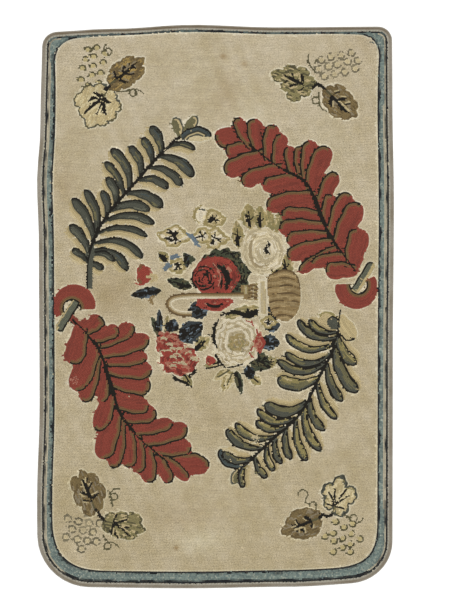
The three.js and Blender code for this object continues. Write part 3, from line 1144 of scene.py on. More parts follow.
def hook_bunch(joint, middle, reach, turn, pitch, radius, cap, yarn, fill):
    """Grapes side by side in slanting rows, as far as the bunch reaches."""
    for i in range(-3, 4):
        for j in range(-3, 4):
            place = pitch * np.array([i + 0.5 * (j % 2), GRAPE_ROW_PITCH * j])
            place = set_down([place], (0, 0), turn)[0]
            if np.hypot(*(place / reach)) < 1:
                grape(joint + middle + place + rng.normal(0, GRAPE_STRAY, 2), radius, cap, yarn, fill)


def tendril(joint, root, aim, stem, curl, tail, bend):
    """A tendril that leaves its root, curls round and runs out in a tail."""
    loop_length = abs(math.radians(curl)) * TENDRIL_CURL
    lengths = np.array([stem, loop_length, tail]).astype(int)
    turned = np.radians([STEM_SWAY * curl, curl, bend])
    turns = math.radians(aim) + np.cumsum(np.repeat(turned / np.maximum(lengths, 1), lengths))
    path = joint + root + np.cumsum(on_circle(turns), axis=0)
    hook_line("corner_sprays", path, VINE_OLIVE)


for spray in CORNER_SPRAYS:
    joint = np.array(spray["joint"], float)
    for leaf in spray["leaves"]:
        vine_leaf(joint, **leaf)
    hook_bunch(joint, **spray["bunch"])
    for row in spray["tendrils"]:
        tendril(joint, **row)
fill_gaps("corner_sprays", motifs)
pile("corner_sprays")

# Bouquet
# The middle holds a loose bunch of ordinary garden flowers with a small basket lying on its side: two
# cream roses, a red rose, a red and cream peony, small blossoms, buds and leaves.
CREAM_WHITE = dye(202, 192, 168)
ROSE_CREAM = dye(190, 178, 148)
CREAM_SHADE = dye(172, 159, 128)
CREAM_LINE = dye(138, 126, 100)
PETAL_TAN = dye(152, 137, 105)
HEART_TAN = dye(150, 133, 90)
ROSE_RED = dye(140, 60, 48)
ROSE_DEEP = dye(108, 46, 37)
ROSE_PINK = dye(158, 106, 86)
FOREST = dye(62, 66, 48)
INK_BLUE = dye(54, 60, 62)
DUSK_BLUE = dye(98, 110, 118)
LEAF_OLIVE = dye(146, 132, 88)
BASKET_LIGHT = dye(152, 132, 94)
BASKET_TAN = dye(132, 111, 74)
BASKET_BROWN = dye(94, 75, 47)
RING_SPREAD = 0.07
DAB_LEAN = (-0.5, 0.9)
LEAF_LOOKS = {
    "olive": {"vein": BLACK, "body": [LEAF_OLIVE, MOSS, STRAW], "shares": [0.5, 0.3, 0.2]},
    "plain": {"vein": MOSS, "body": [LEAF_OLIVE, MOSS, STRAW], "shares": [0.55, 0.15, 0.3]},
    "forest": {"vein": BLACK, "body": [FOREST, VINE_OLIVE, BLACK], "shares": [0.5, 0.2, 0.3]},
    "ink": {"vein": BLACK, "body": [INK_BLUE, BLACK, DUSK_BLUE], "shares": [0.5, 0.35, 0.15]},
    "pale": {"vein": VINE_OLIVE, "body": [PALE_LEAF, STRAW_LIGHT, LEAF_OLIVE], "shares": [0.4, 0.3, 0.3]},
}
# Each leaf's root, where it aims, its length, its width and its look.
BOUQUET_LEAVES = [
    ((96, 210), 98, 68, 44, "olive"),
    ((123, 210), 93, 62, 34, "olive"),
    ((152, 200), 99, 68, 26, "plain"),
    ((166, 200), 76, 70, 26, "plain"),
    ((65, 158), 97, 74, 32, "olive"),
    ((196, 84), 104, 62, 42, "olive"),
    ((150, 92), 40, 44, 26, "olive"),
    ((-20, 0), 200, 60, 48, "ink"),
    ((-148, 44), 190, 82, 28, "ink"),
    ((-64, 52), 163, 70, 28, "forest"),
    ((128, -8), 190, 104, 36, "olive"),
    ((142, -38), 56, 46, 38, "ink"),
    ((136, -58), 14, 40, 30, "ink"),
    ((124, -96), -4, 50, 42, "ink"),
    ((94, -138), -24, 62, 50, "forest"),
    ((134, -158), 24, 36, 30, "olive"),
    ((86, -160), -72, 40, 28, "ink"),
    ((98, -190), -40, 32, 24, "olive"),
    ((-94, -92), 40, 76, 58, "ink"),
    ((-122, -74), 74, 42, 36, "ink"),
    ((-146, -88), 114, 66, 18, "forest"),
    ((-150, -70), 92, 62, 16, "ink"),
    ((-136, -70), 80, 46, 14, "pale"),
    ((-54, -118), 44, 52, 30, "olive"),
    ((-84, -182), -60, 40, 18, "olive"),
    ((46, -176), -112, 54, 24, "pale"),
    ((56, -174), -76, 62, 20, "forest"),
    ((38, -172), -148, 48, 22, "pale"),
    ((30, -190), -104, 40, 18, "olive"),
    ((10, -152), 192, 40, 18, "olive"),
    ((-130, 122), 130, 34, 26, "olive"),
]


def arc(middle, reach, start, end):
    """Points round part of an oval, from one direction to another in degrees."""
    turns = np.radians(np.linspace(start, end, 14))
    return middle + reach * on_circle(turns)


def wavy(middle, reach, waves, depth, phase=0.0):
    """A round outline with a wavy edge."""
    turns = np.linspace(0, 2 * np.pi, 120, endpoint=False)
    ripple = 1 + depth * np.cos(waves * turns + phase) + 0.4 * depth * np.cos((2 * waves + 1) * turns - phase)
    return middle + ripple[:, None] * (reach * on_circle(turns))


def hook_rings(outline, yarns, shares, middle=None, run=4):
    """Fills a flower with rings of loops from its outline inwards."""
    middle = outline.mean(axis=0) if middle is None else np.array(middle)
    reach = np.hypot(*(outline - middle).T).mean()
    for row in range(int(reach / ROW) + 1):
        share = max(0.04, 1 - (row + 0.5) * ROW / reach)
        points, angles = evenly(middle + share * (outline - middle), STEP, closed=True)
        hook("bouquet", points, angles, mixed(yarns, shares, len(points), run), RING_SPREAD)
    keep_outline(outline)


def dabs(places, yarn, reach=9):
    """Short strokes that slant down, one at each place."""
    for x, y in places:
        lean = rng.uniform(*DAB_LEAN)
        halfway = (x + 0.5 * lean * reach, y - 0.5 * reach)
        stroke("bouquet", [(x, y), halfway, (x + lean * reach, y - reach)], yarn)


WIDE_LEAF = 24  # a leaf wider than this has side veins
LEAF_TEETH, TOOTH_DEPTH = 4.5, 0.1
LEAF_POINTS = 48
# The points along the middle of a leaf where its vein is one row thick and where it is two, and where the
# side veins leave it, to the left at +1.
VEIN_POINTS, THICK_VEIN_POINTS = slice(4, 34), slice(6, 20)
SIDE_VEINS = ((10, 1), (15, -1), (21, 1))
SIDE_VEIN_TURN = 48
SIDE_VEIN_REACH = 0.3  # as a share of the leaf's width


def bouquet_leaf(root, aim, length, width, look):
    """A pointed leaf with a slightly toothed edge and a dark jagged vein, thickest at its foot."""
    yarns = LEAF_LOOKS[look]
    along, across = heading(aim), heading(aim + 90)
    u = np.linspace(0, 1, LEAF_POINTS)
    teeth = 1 + TOOTH_DEPTH * np.cos(2 * np.pi * LEAF_TEETH * u)
    half = width / 2 * np.sin(np.pi * u**0.85) ** 0.8 * teeth
    axis = np.array(root, float) + np.outer(u * length, along)
    hook_line("bouquet", axis[VEIN_POINTS], yarns["vein"])
    if width > WIDE_LEAF:
        hook_line("bouquet", beside(axis[THICK_VEIN_POINTS], ROW), yarns["vein"])
        for start, side in SIDE_VEINS:
            out = np.linspace(2, SIDE_VEIN_REACH * width, 8)
            vein = axis[start] + np.outer(out, heading(aim + side * SIDE_VEIN_TURN))
            hook_line("bouquet", vein, yarns["vein"])
    outline = np.vstack([axis + np.outer(half, across), (axis - np.outer(half, across))[::-1]])
    hook_patch("bouquet", outline, aim, yarns["body"], yarns["shares"], run=3)


STAMENS = 6
STAMEN_TURN, STAMEN_STRAY = 61, 14  # degrees from one to the next, and how far one strays from that
STAMEN_START, STAMEN_END = 0.14, (0.25, 0.55)  # as shares of the blossom's reach
BLOSSOM_WAVE = 0.13


def blossom(middle, reach, petals, turn, yarns):
    """A small open blossom: an uneven pale shape edged in olive, with a few black stamens."""
    middle = np.array(middle, float)
    for i in range(STAMENS):
        way = heading(turn + STAMEN_TURN * i + rng.normal(0, STAMEN_STRAY))
        end = middle + reach[0] * rng.uniform(*STAMEN_END) * way
        stroke("bouquet", [middle + STAMEN_START * reach[0] * way, end], BLACK)
    outline = wavy(middle, reach, petals, BLOSSOM_WAVE, math.radians(turn))
    hook_rim("bouquet", outline, [[LEAF_OLIVE], [LEAF_OLIVE, STRAW]])
    shares = np.full(len(yarns), 1 / len(yarns))
    hook_patch("bouquet", outline, turn, yarns, shares, run=4)


def draw(yarn, rows, *path):
    """A line of the bouquet in one yarn, so many rows thick."""
    stroke("bouquet", path, yarn, rows)


# The basket's handle, a long loop of wicker that lies over the red rose, and the collar it is tied to.
HANDLE = [(74, 36), (0, 35), (-70, 35), (-116, 28), (-132, 10), (-122, -12), (-98, -24), (-66, -26)]
handle = evenly(smooth(HANDLE), TRACE)[0]
for away, yarn in ((0, BASKET_BROWN), (1, BASKET_TAN), (2, CREAM_SHADE), (3, CREAM_WHITE)):
    hook_line("bouquet", beside(handle, away * ROW), yarn)
draw(BASKET_BROWN, 1, (-120, 4), (-108, -10), (-88, -18), (-66, -18))
COLLAR = np.array([(68, 22), (116, 16), (116, 64), (70, 56)], float)
for y in (24, 34, 44, 54):
    hook_line("bouquet", np.array([(90, y), (100, y + 3), (112, y)], float), BASKET_BROWN)
hook_patch("bouquet", COLLAR, 90, [BASKET_TAN, LEAF_OLIVE, CREAM_SHADE], shares=[0.5, 0.3, 0.2])
RIM = np.array([(118, -22), (142, -26), (140, 74), (118, 70)], float)
hook_rim("bouquet", RIM, [[CREAM_WHITE]])
hook_patch("bouquet", RIM, 90, [CREAM_SHADE, PALE_LEAF], shares=[0.6, 0.4])

# The basket's body: arching ribs of light wicker with brown between them.
BASKET = [(143, 76), (166, 92), (196, 98), (220, 82), (229, 40), (226, 0), (212, -26), (190, -40)]
BASKET += [(160, -24), (146, 6)]
BASKET_MIDDLE_X = 186
BASKET_REACH_X, BASKET_REACH_Y = 48, 78
BASKET_Y = 26
RIB_PITCH = 5  # rows from rib to rib
RIB_ARCH, RIB_ARCH_LENGTH = 9, 30
RIB_WAVE, RIB_WAVE_LENGTH = 1.5, 9
RIB_LIT, RIB_SHADED = 0.8, 0.2  # the share of light wicker on the crown of a rib and at its sides
basket = smooth(BASKET, closed=True)
basket_area = area(basket)
hook_line("bouquet", evenly(basket, TRACE, closed=True)[0][: len(basket) // 2], BASKET_BROWN)
for i, y in enumerate(np.arange(BASKET_Y - BASKET_REACH_Y, BASKET_Y + BASKET_REACH_Y, ROW)):
    across = np.arange(BASKET_MIDDLE_X - BASKET_REACH_X, BASKET_MIDDLE_X + BASKET_REACH_X, STEP)
    arch = RIB_ARCH * np.cos((across - BASKET_MIDDLE_X) / RIB_ARCH_LENGTH)
    level = y + arch + RIB_WAVE * np.sin(across / RIB_WAVE_LENGTH + i // RIB_PITCH)
    points = np.column_stack([across, level])
    points = points[basket_area[cells(points)]]
    if i % RIB_PITCH == 0:
        colours = mixed([BASKET_BROWN, BASKET_TAN], [0.85, 0.15], len(points))
    else:
        lit = RIB_LIT if i % RIB_PITCH in (2, 3) else RIB_SHADED
        colours = mixed([BASKET_LIGHT, BASKET_TAN], [lit, 1 - lit], len(points), run=3)
    hook("bouquet", points, np.zeros(len(points)), colours, FILL_SPREAD)
keep_outline(basket)

# The upper cream rose: turned-back petals round the heart show as soft dark lines.
draw(BLACK, 2, (142, 176), (147, 166), (138, 156), (146, 142))
draw(PETAL_TAN, 2, (110, 194), (99, 172), (97, 145), (103, 121), (121, 109), (144, 112))
draw(CREAM_SHADE, 2, *arc((128, 152), (52, 56), 96, 150))
draw(CREAM_SHADE, 3, *arc((138, 150), (22, 28), 170, 330))
draw(CREAM_SHADE, 1, *arc((128, 150), (50, 54), 195, 300))
draw(CREAM_SHADE, 2, *arc((134, 150), (42, 46), -20, 70))
draw(BLACK, 1, (151, 98), (160, 91), (168, 98))
cream_rose = {"yarns": [ROSE_CREAM, CREAM_WHITE, CREAM_SHADE], "shares": [0.6, 0.22, 0.18]}
hook_rings(wavy((128, 150), (60, 64), waves=9, depth=0.035), **cream_rose, middle=(134, 150))

# The red rose: a bud of winding petals on the left, black folds between the petals on its right, and a
# dark ragged calyx that shows behind it.
for start, reach in ((30, 32), (150, 31), (255, 30), (80, 23), (200, 22), (320, 21), (0, 13), (170, 12)):
    stroke("bouquet", arc((-32, 76), (reach, reach), start, start + 84), BLACK)
dabs(((-52, 96), (-24, 96), (-44, 72), (-20, 74), (-34, 58), (-8, 60), (-30, 84)), BLACK, 12)
draw(BLACK, 4, (6, 114), (20, 104), (33, 84), (34, 64), (28, 46))
draw(ROSE_PINK, 1, (-6, 116), (8, 98), (14, 78), (8, 56))
draw(BLACK, 1, (10, 92), (18, 74), (16, 52))
draw(ROSE_DEEP, 2, (46, 98), (53, 80), (48, 56))
draw(BLACK, 2, (-24, 8), (-4, 2), (18, 6))
red_rose = {"yarns": [ROSE_RED, ROSE_DEEP, ROSE_PINK], "shares": [0.76, 0.17, 0.07]}
below_handle = {"yarns": [ROSE_RED, ROSE_DEEP, ROSE_PINK], "shares": [0.84, 0.12, 0.04]}
calyx = {"yarns": [FOREST, BLACK, VINE_OLIVE], "shares": [0.5, 0.35, 0.15], "run": 2}
hook_rings(wavy((2, 82), (64, 54), waves=6, depth=0.03), **red_rose, middle=(-14, 80))
hook_rings(wavy((-4, 14), (48, 26), waves=5, depth=0.05), **below_handle)
hook_rings(wavy((22, 92), (70, 64), waves=13, depth=0.06), **calyx)

# The lower cream rose: rings of ragged cream petals over tan, round a tan heart with dark dabs, with
# scraps of a dark outline and red on its right.
dabs(((74, -84), (50, -102), (72, -112), (60, -90)), CREAM_LINE, 10)
draw(BLACK, 2, (8, -35), (0, -60), (-2, -88), (4, -111))
draw(BLACK, 1, (1, -130), (14, -150), (25, -161))
draw(BLACK, 1, (37, -164), (54, -162), (72, -156))
draw(BLACK, 3, (14, -25), (41, -15), (66, -18), (91, -27), (108, -17), (126, -11))
dabs(((98, -40), (112, -62), (110, -84), (100, -108), (116, -112), (92, -126)), ROSE_RED, 11)
red_scraps = {"yarns": [ROSE_RED, ROSE_PINK], "shares": [0.7, 0.3]}
heart = {"yarns": [HEART_TAN, MOSS, CREAM_SHADE], "shares": [0.5, 0.2, 0.3], "run": 3}
tan_rose = {"yarns": [PETAL_TAN, CREAM_SHADE, ROSE_CREAM], "shares": [0.5, 0.3, 0.2], "run": 3}
hook_rings(wavy((119, -98), (14, 26), waves=4, depth=0.16), **red_scraps)
hook_rings(wavy((62, -99), (27, 24), waves=5, depth=0.1), **heart)
RUFFLES = [{"reach": 62, "waves": 9, "phase": 0}, {"reach": 49, "waves": 7, "phase": 1.1}]
RUFFLES += [{"reach": 36, "waves": 5, "phase": 0.4}]
RUFFLE_ROWS = [(0.5, CREAM_WHITE), (1.5, CREAM_WHITE), (2.5, CREAM_SHADE)]
RUFFLE_WAVE, RUFFLE_NUDGE = 0.055, 1.2
PETAL_POINTS, GAP_POINTS = (14, 32), (1, 4)  # points of a ruffle in a petal, and in the gap after it
for row in RUFFLES:
    reach = (row["reach"], 1.08 * row["reach"])
    ruffle = wavy((60, -95), reach, row["waves"], RUFFLE_WAVE, row["phase"])
    ruffle = evenly(ruffle, TRACE, closed=True)[0]
    start = 0
    while start < len(ruffle):
        petal = ruffle[start : start + rng.integers(*PETAL_POINTS)]
        start += len(petal) + rng.integers(*GAP_POINTS)
        if len(petal) > 4:
            nudge = rng.normal(0, RUFFLE_NUDGE)
            for rows_in, yarn in RUFFLE_ROWS:
                hook_line("bouquet", beside(petal, rows_in * ROW + nudge), yarn)
hook_rings(wavy((60, -95), (62, 67), waves=9, depth=0.06), **tan_rose)

# The peony: two heads of ragged red petals, each petal edged with pink or cream.
PEONY_HEADS = [
    {"middle": (-126, -102), "reach": (34, 33), "waves": 7, "petals": (33, 32)},
    {"middle": (-97, -145), "reach": (50, 40), "waves": 8, "petals": (48, 38)},
]
PETAL_PITCH = 21
PETAL_ROW_PITCH = 0.62 * PETAL_PITCH
PETAL_STRAY = 4
PETAL_TURN, PETAL_ROUND = (-10, 60), (70, 135)  # where a petal's edge starts, and how far round it goes
PETAL_REACH, PETAL_FLATNESS = (0.42, 0.7), np.array([1, 0.75])
CREAM_EDGES = 0.6  # the share of petals that are edged with cream
PEONY_X, PEONY_Y = (-170, -40), (-186, -70)
for i, y in enumerate(np.arange(*PEONY_Y, PETAL_ROW_PITCH)):
    for x in np.arange(*PEONY_X, PETAL_PITCH) + 0.5 * PETAL_PITCH * (i % 2):
        middle = np.array([x, y]) + rng.normal(0, PETAL_STRAY, 2)
        out = [np.hypot(*((middle - head["middle"]) / head["petals"])) for head in PEONY_HEADS]
        if min(out) < 0.95:
            start = rng.uniform(*PETAL_TURN)
            reach = PETAL_PITCH * rng.uniform(*PETAL_REACH) * PETAL_FLATNESS
            edge = arc(middle, reach, start, start + rng.uniform(*PETAL_ROUND))
            yarn = CREAM_SHADE if rng.random() < CREAM_EDGES else ROSE_PINK
            stroke("bouquet", edge, yarn, rows=rng.integers(1, 3))
draw(BLACK, 2, (-115, -186), (-96, -198), (-78, -205), (-65, -218))
draw(BLACK, 2, (-72, -190), (-62, -180), (-52, -172))
draw(BLACK, 1, (-50, -118), (-38, -108), (-28, -94))
peony = {"yarns": [ROSE_RED, ROSE_PINK, ROSE_DEEP], "shares": [0.62, 0.14, 0.24]}
for head in PEONY_HEADS:
    hook_rings(wavy(head["middle"], head["reach"], head["waves"], depth=0.08), **peony)

# Buds and small blossoms in the upper left and round the edge.
draw(STRAW, 3, (-186, 79), (-172, 84), (-160, 78), (-174, 64))
big_bud = {"yarns": [ROSE_RED, RUSSET, ROSE_PINK], "shares": [0.7, 0.2, 0.1]}
small_bud = {"yarns": [ROSE_RED, ROSE_DEEP], "shares": [0.7, 0.3]}
pale_bud = {"yarns": [CREAM_WHITE, STRAW_LIGHT], "shares": [0.7, 0.3]}
hook_rings(wavy((-193, 86), (21, 27), waves=3, depth=0.1), **big_bud)
hook_rings(wavy((-14, -146), (13, 12), waves=3, depth=0.12), **small_bud)
draw(BLACK, 1, (-24, -168), (-2, -164), (16, -158))
draw(BASKET_TAN, 2, (-164, 30), (-172, 18), (-168, 8))
draw(DUSK_BLUE, 3, (-121, 130), (-108, 136), (-97, 136))
draw(DUSK_BLUE, 3, (-138, 97), (-130, 109), (-118, 112))
draw(DUSK_BLUE, 3, (-78, 198), (-66, 192), (-53, 175), (-41, 161))
draw(LEAF_OLIVE, 2, (-38, 273), (-53, 256), (-55, 240), (-46, 228))
draw(SLATE, 1, (-42, 262), (-32, 262))
draw(BLACK, 2, (-129, 208), (-118, 203), (-110, 190), (-98, 177))
draw(BLACK, 2, (-133, 186), (-124, 184), (-114, 179))
draw(BLACK, 3, (-151, 140), (-140, 132), (-130, 122))
draw(BLACK, 2, (-20, 229), (-11, 238), (-2, 240))
hook_rings(wavy((-40, 249), (14, 24), waves=3, depth=0.06), **pale_bud)
DARK_PETAL = [(-86, 144), (-68, 138), (-54, 127), (-68, 117), (-78, 104), (-84, 123)]
dark_petal = {"yarns": [FOREST, INK_BLUE, BLACK], "shares": [0.4, 0.3, 0.3], "run": 3}
hook_patch("bouquet", smooth(DARK_PETAL, closed=True), 60, **dark_petal)
pale_petals = [CREAM_WHITE, STRAW_LIGHT, CREAM_WHITE, PALE_LEAF]
blossom((-102, 109), (23, 20), 5, 20, pale_petals)
blossom((-111, 190), (42, 27), 4, 30, pale_petals)
blossom((-36, 190), (26, 22), 3, 100, pale_petals)
blossom((-2, 184), (36, 27), 4, 20, pale_petals)
blossom((-4, 237), (29, 24), 3, 40, [PALE_LEAF, LEAF_OLIVE, STRAW_LIGHT])
blossom((144, -42), (20, 17), 4, 40, [CREAM_WHITE, INK_BLUE])
for leaf in BOUQUET_LEAVES:
    bouquet_leaf(*leaf)
fill_gaps("bouquet", motifs)
pile("bouquet")

# Ground
# All the rest of the face is hooked in cream wool in level rows. One paler row follows every outline,
# the shades vary from one length of yarn to the next, and the cream has stained and rubbed with age.
CREAM_GROUND = dye(181, 168, 139)
CREAM_ECHO = dye(197, 187, 160)
STAIN_BROWN = np.array([0.72, 0.62, 0.48])
CREAM_TINT = np.array([0, 0.01, 0.05])  # how much greyer the cream is where it is palest
HEAD_PALER = 0.025
CREAM_VARIETY, GROUND_SPREAD = 0.03, 0.022
ECHO_AWAY = 0.6  # rows from an outline to the paler row
GROUND_STRAY = 0.45
GROUND_EDGE = 20  # how far inside the plan's edge the level rows start and end
# How far a level row sways, in swells so long, and how far down the rug they shift.
SWAYS = [{"by": 2.5, "length": 70, "shift": 60}, {"by": 1.5, "length": 31, "shift": -47}]
WAVES = 26
# The middle of each stain, how far it reaches either way and how brown it is. Where that is below 0 the
# cream has rubbed paler than the rest.
STAINS = [
    {"at": (-106, -653), "reach": (7, 7), "brown": 1.1},
    {"at": (21, 676), "reach": (9, 7), "brown": 0.95},
    {"at": (78, 656), "reach": (8, 8), "brown": 0.65},
    {"at": (-41, -633), "reach": (66, 34), "brown": -0.5},
    {"at": (-96, -570), "reach": (90, 48), "brown": 0.25},
    {"at": (-280, 31), "reach": (56, 64), "brown": 0.42},
    {"at": (29, 585), "reach": (28, 54), "brown": 0.32},
    {"at": (-49, 626), "reach": (76, 64), "brown": -0.14},
    {"at": (100, 500), "reach": (44, 86), "brown": -0.22},
    {"at": (297, 450), "reach": (64, 64), "brown": -0.16},
    {"at": (405, 707), "reach": (34, 34), "brown": 0.18},
    {"at": (-407, 328), "reach": (34, 54), "brown": 0.3},
    {"at": (410, 0), "reach": (28, 84), "brown": 0.18},
    {"at": (0, -300), "reach": (90, 34), "brown": 0.15},
]
MOTTLE = 0.05
GROUND_PARTS = [("ground_foot", -800, -330), ("ground_middle", -330, 330), ("ground_head", 330, 800)]

wave_lengths = np.geomspace(28, 420, WAVES)
wave_turns = rng.uniform(0, 2 * np.pi, WAVES)
wave_starts = rng.uniform(0, 2 * np.pi, WAVES)


def aged_cream(points, cream):
    """The cream yarn as age has left it, place by place."""
    away = points[:, :1] * np.cos(wave_turns) + points[:, 1:] * np.sin(wave_turns)
    patch = np.cos(2 * np.pi * away / wave_lengths + wave_starts).sum(axis=1, keepdims=True) / WAVES**0.5
    head = points[:, 1:] / GRID_Y
    tint = 1 + CREAM_TINT * (head + patch)
    shade = 1 + MOTTLE * patch + HEAD_PALER * head
    colours = cream * tint * shade * rng.normal(1, CREAM_VARIETY, (len(points), 1))
    for stain in STAINS:
        far = np.hypot(*((points - stain["at"]) / stain["reach"]).T)
        soak = stain["brown"] * np.exp(-(far**2))[:, None]
        colours = colours * (1 - soak * (1 - STAIN_BROWN))
    return colours


for outline in [inner_line, *motif_outlines]:
    line = evenly(outline, TRACE, closed=True)[0]
    for side in (1, -1):
        points, angles = evenly(beside(line, side * ECHO_AWAY * ROW, closed=True), STEP, closed=True)
        clear = ~motifs[cells(points)]
        hook("ground", points[clear], angles[clear], aged_cream(points[clear], CREAM_ECHO))
bare_ground = ground_area & ~motifs
for y in np.arange(-GRID_Y + GROUND_EDGE, GRID_Y - GROUND_EDGE, ROW):
    across = np.arange(-GRID_X + GROUND_EDGE, GRID_X - GROUND_EDGE, STEP) + rng.uniform(0, STEP)
    level = np.full(len(across), y)
    for sway in SWAYS:
        level = level + sway["by"] * np.sin(across / sway["length"] + y / sway["shift"])
    points = np.column_stack([across, level]) + rng.normal(0, GROUND_STRAY, (len(across), 2))
    points = points[bare_ground[cells(points)]]
    hook("ground", points, np.zeros(len(points)), aged_cream(points, CREAM_GROUND), GROUND_SPREAD)
fill_gaps("ground", ~motifs)
ground = np.vstack(loops["ground"])
for name, low, high in GROUND_PARTS:
    pile(name, ground[(ground[:, 1] >= low) & (ground[:, 1] < high)])

# Foundation
# A sheet of burlap that carries every loop. Its face is hidden, and its back shows the flat undersides
# of the stitches in the same colours. Its edge runs out past the pile as a hem, inside the tape.
GRID_ACROSS, GRID_ALONG = 160, 254
HEM_WIDTH = 11
FACE_HEIGHT, BACK_HEIGHT = 2.9, 0.15
HEM_FACE_HEIGHT, HEM_BACK_HEIGHT = 3.2, 1.6
BACK_UNEVENNESS = 0.3
BACK_SHADE = 0.9
FOLD_HEIGHT = 2.4  # where the fold of the tape reaches furthest out
BURLAP = dye(150, 128, 92)


def cloth_patch(edge):
    """A grid of points over all of the cloth inside an edge, drawn between its four sides."""
    turns = np.arctan2(edge[:, 1], edge[:, 0])
    half = np.abs(edge).max(axis=0)
    corner_turns = [math.atan2(y * half[1], x * half[0]) for x, y in ((-1, -1), (1, -1), (1, 1), (-1, 1))]
    starts = [int(np.argmin(np.abs(turns - turn))) for turn in corner_turns]
    sides = []
    for i, start in enumerate(starts):
        stop = starts[(i + 1) % 4]
        side = np.vstack([edge[start:], edge[: stop + 1]]) if stop < start else edge[start : stop + 1]
        count = GRID_ALONG if i % 2 else GRID_ACROSS
        sides.append(spaced(side, count + 1))
    foot, right, head, left = sides[0], sides[1], sides[2][::-1], sides[3][::-1]
    u = np.linspace(0, 1, GRID_ACROSS + 1)[None, :, None]
    v = np.linspace(0, 1, GRID_ALONG + 1)[:, None, None]
    between_ends = (1 - v) * foot[None] + v * head[None]
    between_sides = (1 - u) * left[:, None] + u * right[:, None]
    corners = (1 - v) * ((1 - u) * foot[0] + u * foot[-1]) + v * ((1 - u) * head[0] + u * head[-1])
    return between_ends + between_sides - corners


hem_edge = evenly(beside(pile_edge, -HEM_WIDTH, closed=True), TRACE, closed=True)[0]
plan = cloth_patch(hem_edge)
columns, lines = GRID_ACROSS + 1, GRID_ALONG + 1
flat = plan.reshape(-1, 2)
in_hem = ~area(pile_edge)[cells(flat)]
face_z = np.where(in_hem, HEM_FACE_HEIGHT, FACE_HEIGHT)
back_z = np.where(in_hem, HEM_BACK_HEIGHT, BACK_HEIGHT + rng.uniform(0, BACK_UNEVENNESS, len(flat)))
back_z[np.argmin(np.where(in_hem, np.inf, back_z))] = 0  # one stitch stands on the floor
vertices = np.vstack([np.column_stack([flat, face_z]), np.column_stack([flat, back_z])]) * MM
number = np.arange(columns * lines).reshape(lines, columns)
quads = np.stack([number[:-1, :-1], number[:-1, 1:], number[1:, 1:], number[1:, :-1]], -1).reshape(-1, 4)
rim = np.concatenate([number[0, :-1], number[:-1, -1], number[-1, :0:-1], number[:0:-1, 0]])
below = len(flat)
rim_quads = np.stack([np.roll(rim, -1), rim, rim + below, np.roll(rim, -1) + below], -1)
faces = np.vstack([quads, quads[:, ::-1] + below, rim_quads])
foundation = new_object("foundation", vertices.tolist(), faces.tolist())
stitched = dyed[cells(flat)]
stitched = np.where(stitched.any(axis=1, keepdims=True) & ~in_hem[:, None], stitched, BURLAP)
give_yarn(foundation, np.vstack([stitched, stitched * BACK_SHADE]))


def painted_shade_ribs_group():
    """Ribs or rows at a pitch: painted shade dipping between them, a faint painted highlight on top, and
    their height.
    """
    inputs = {"Way across": "Float", "Pitch": "Float", "Depth": "Float"}
    group, given = new_tree("ShaderNodeTree", "ribs", inputs, {"Shade": "Float", "Height": "Float"})
    turn = maths(group, "MULTIPLY", maths(group, "DIVIDE", given["Way across"], given["Pitch"]), 2 * math.pi)
    wave = maths(group, "SINE", turn)
    shade = ranged(group, wave, -1.0, 1.0, maths(group, "SUBTRACT", 1.0, given["Depth"]), 1.05)
    add(group, "NodeGroupOutput", {"Shade": shade, "Height": ranged(group, wave, -1.0, 1.0)})
    return group


ribs = painted_shade_ribs_group()


def burlap_material():
    """Burlap under flat stitches: the colours of the yarn, in short level stitches, over the weave."""
    material, tree, shader = new_material("stitched burlap", roughness=0.95, shine=0.15)
    yarn = add(tree, "ShaderNodeAttribute", attribute_name="yarn").outputs["Color"]
    place = add(tree, "ShaderNodeTexCoord").outputs["Object"]
    fibre = effect(tree, spun_fibre, place=place, fineness=420.0, contrast=0.16)
    along = add(tree, "ShaderNodeSeparateXYZ", {0: place}).outputs["Y"]
    level = maths(tree, "MULTIPLY_ADD", fibre["Height"], ROW * MM, along)
    # painted shade between the rows of stitches, and a faint painted highlight along them
    rows = effect(tree, ribs, way_across=level, pitch=ROW * MM, depth=0.3)
    stitches = add(tree, "ShaderNodeTexVoronoi", {"Vector": place, "Scale": 1000 / STEP})
    shade = maths(tree, "MULTIPLY", rows["Shade"], fibre["Shade"])
    height = maths(tree, "SUBTRACT", rows["Height"], stitches.outputs["Distance"])
    cover(tree, shader, yarn, shade, height, strength=0.6, depth=0.0012)
    return material


foundation.data.materials.append(burlap_material())
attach(foundation, "root")
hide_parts("hooked_cloth")
cut = evenly(wall("binding_tape", FOLD_HEIGHT), TRACE, closed=True)[0] * MM

# Binding
# A woven cotton tape, faded to a grey tan, folded lengthwise over the hem, its ends meeting at the foot.
# Along its paler inner edge it is sewn down to the face with small slanting stitches in brown thread.
TAPE_WIDTH = 13.5  # of each half, from the fold to the sewn edge
TAPE_HEIGHT = 4.8
TAPE_THICKNESS = 1.2
TAPE_STEP = 6.0
TAPE_JOIN_X = -109  # where its ends meet at the foot
TAPE_GREY_TAN = dye(137, 131, 119)
TAPE_BROWN = dye(118, 110, 95)
TAPE_PALE = dye(160, 157, 143)
CREASE_BROWN = dye(84, 70, 50)
CREASE_INSET, CREASE_REACH = 5.6, 3.6
CREASE_DARKNESS = {"left": 0.1, "right": 0.2, "foot": 0.5, "head": 1}  # how dark the brown band along the crease is
PALE_EDGE_START, PALE_EDGE_FULL, PALE_EDGE_SHARE = 9.0, 11.5, 0.8
TWILL_PITCH = 2.4


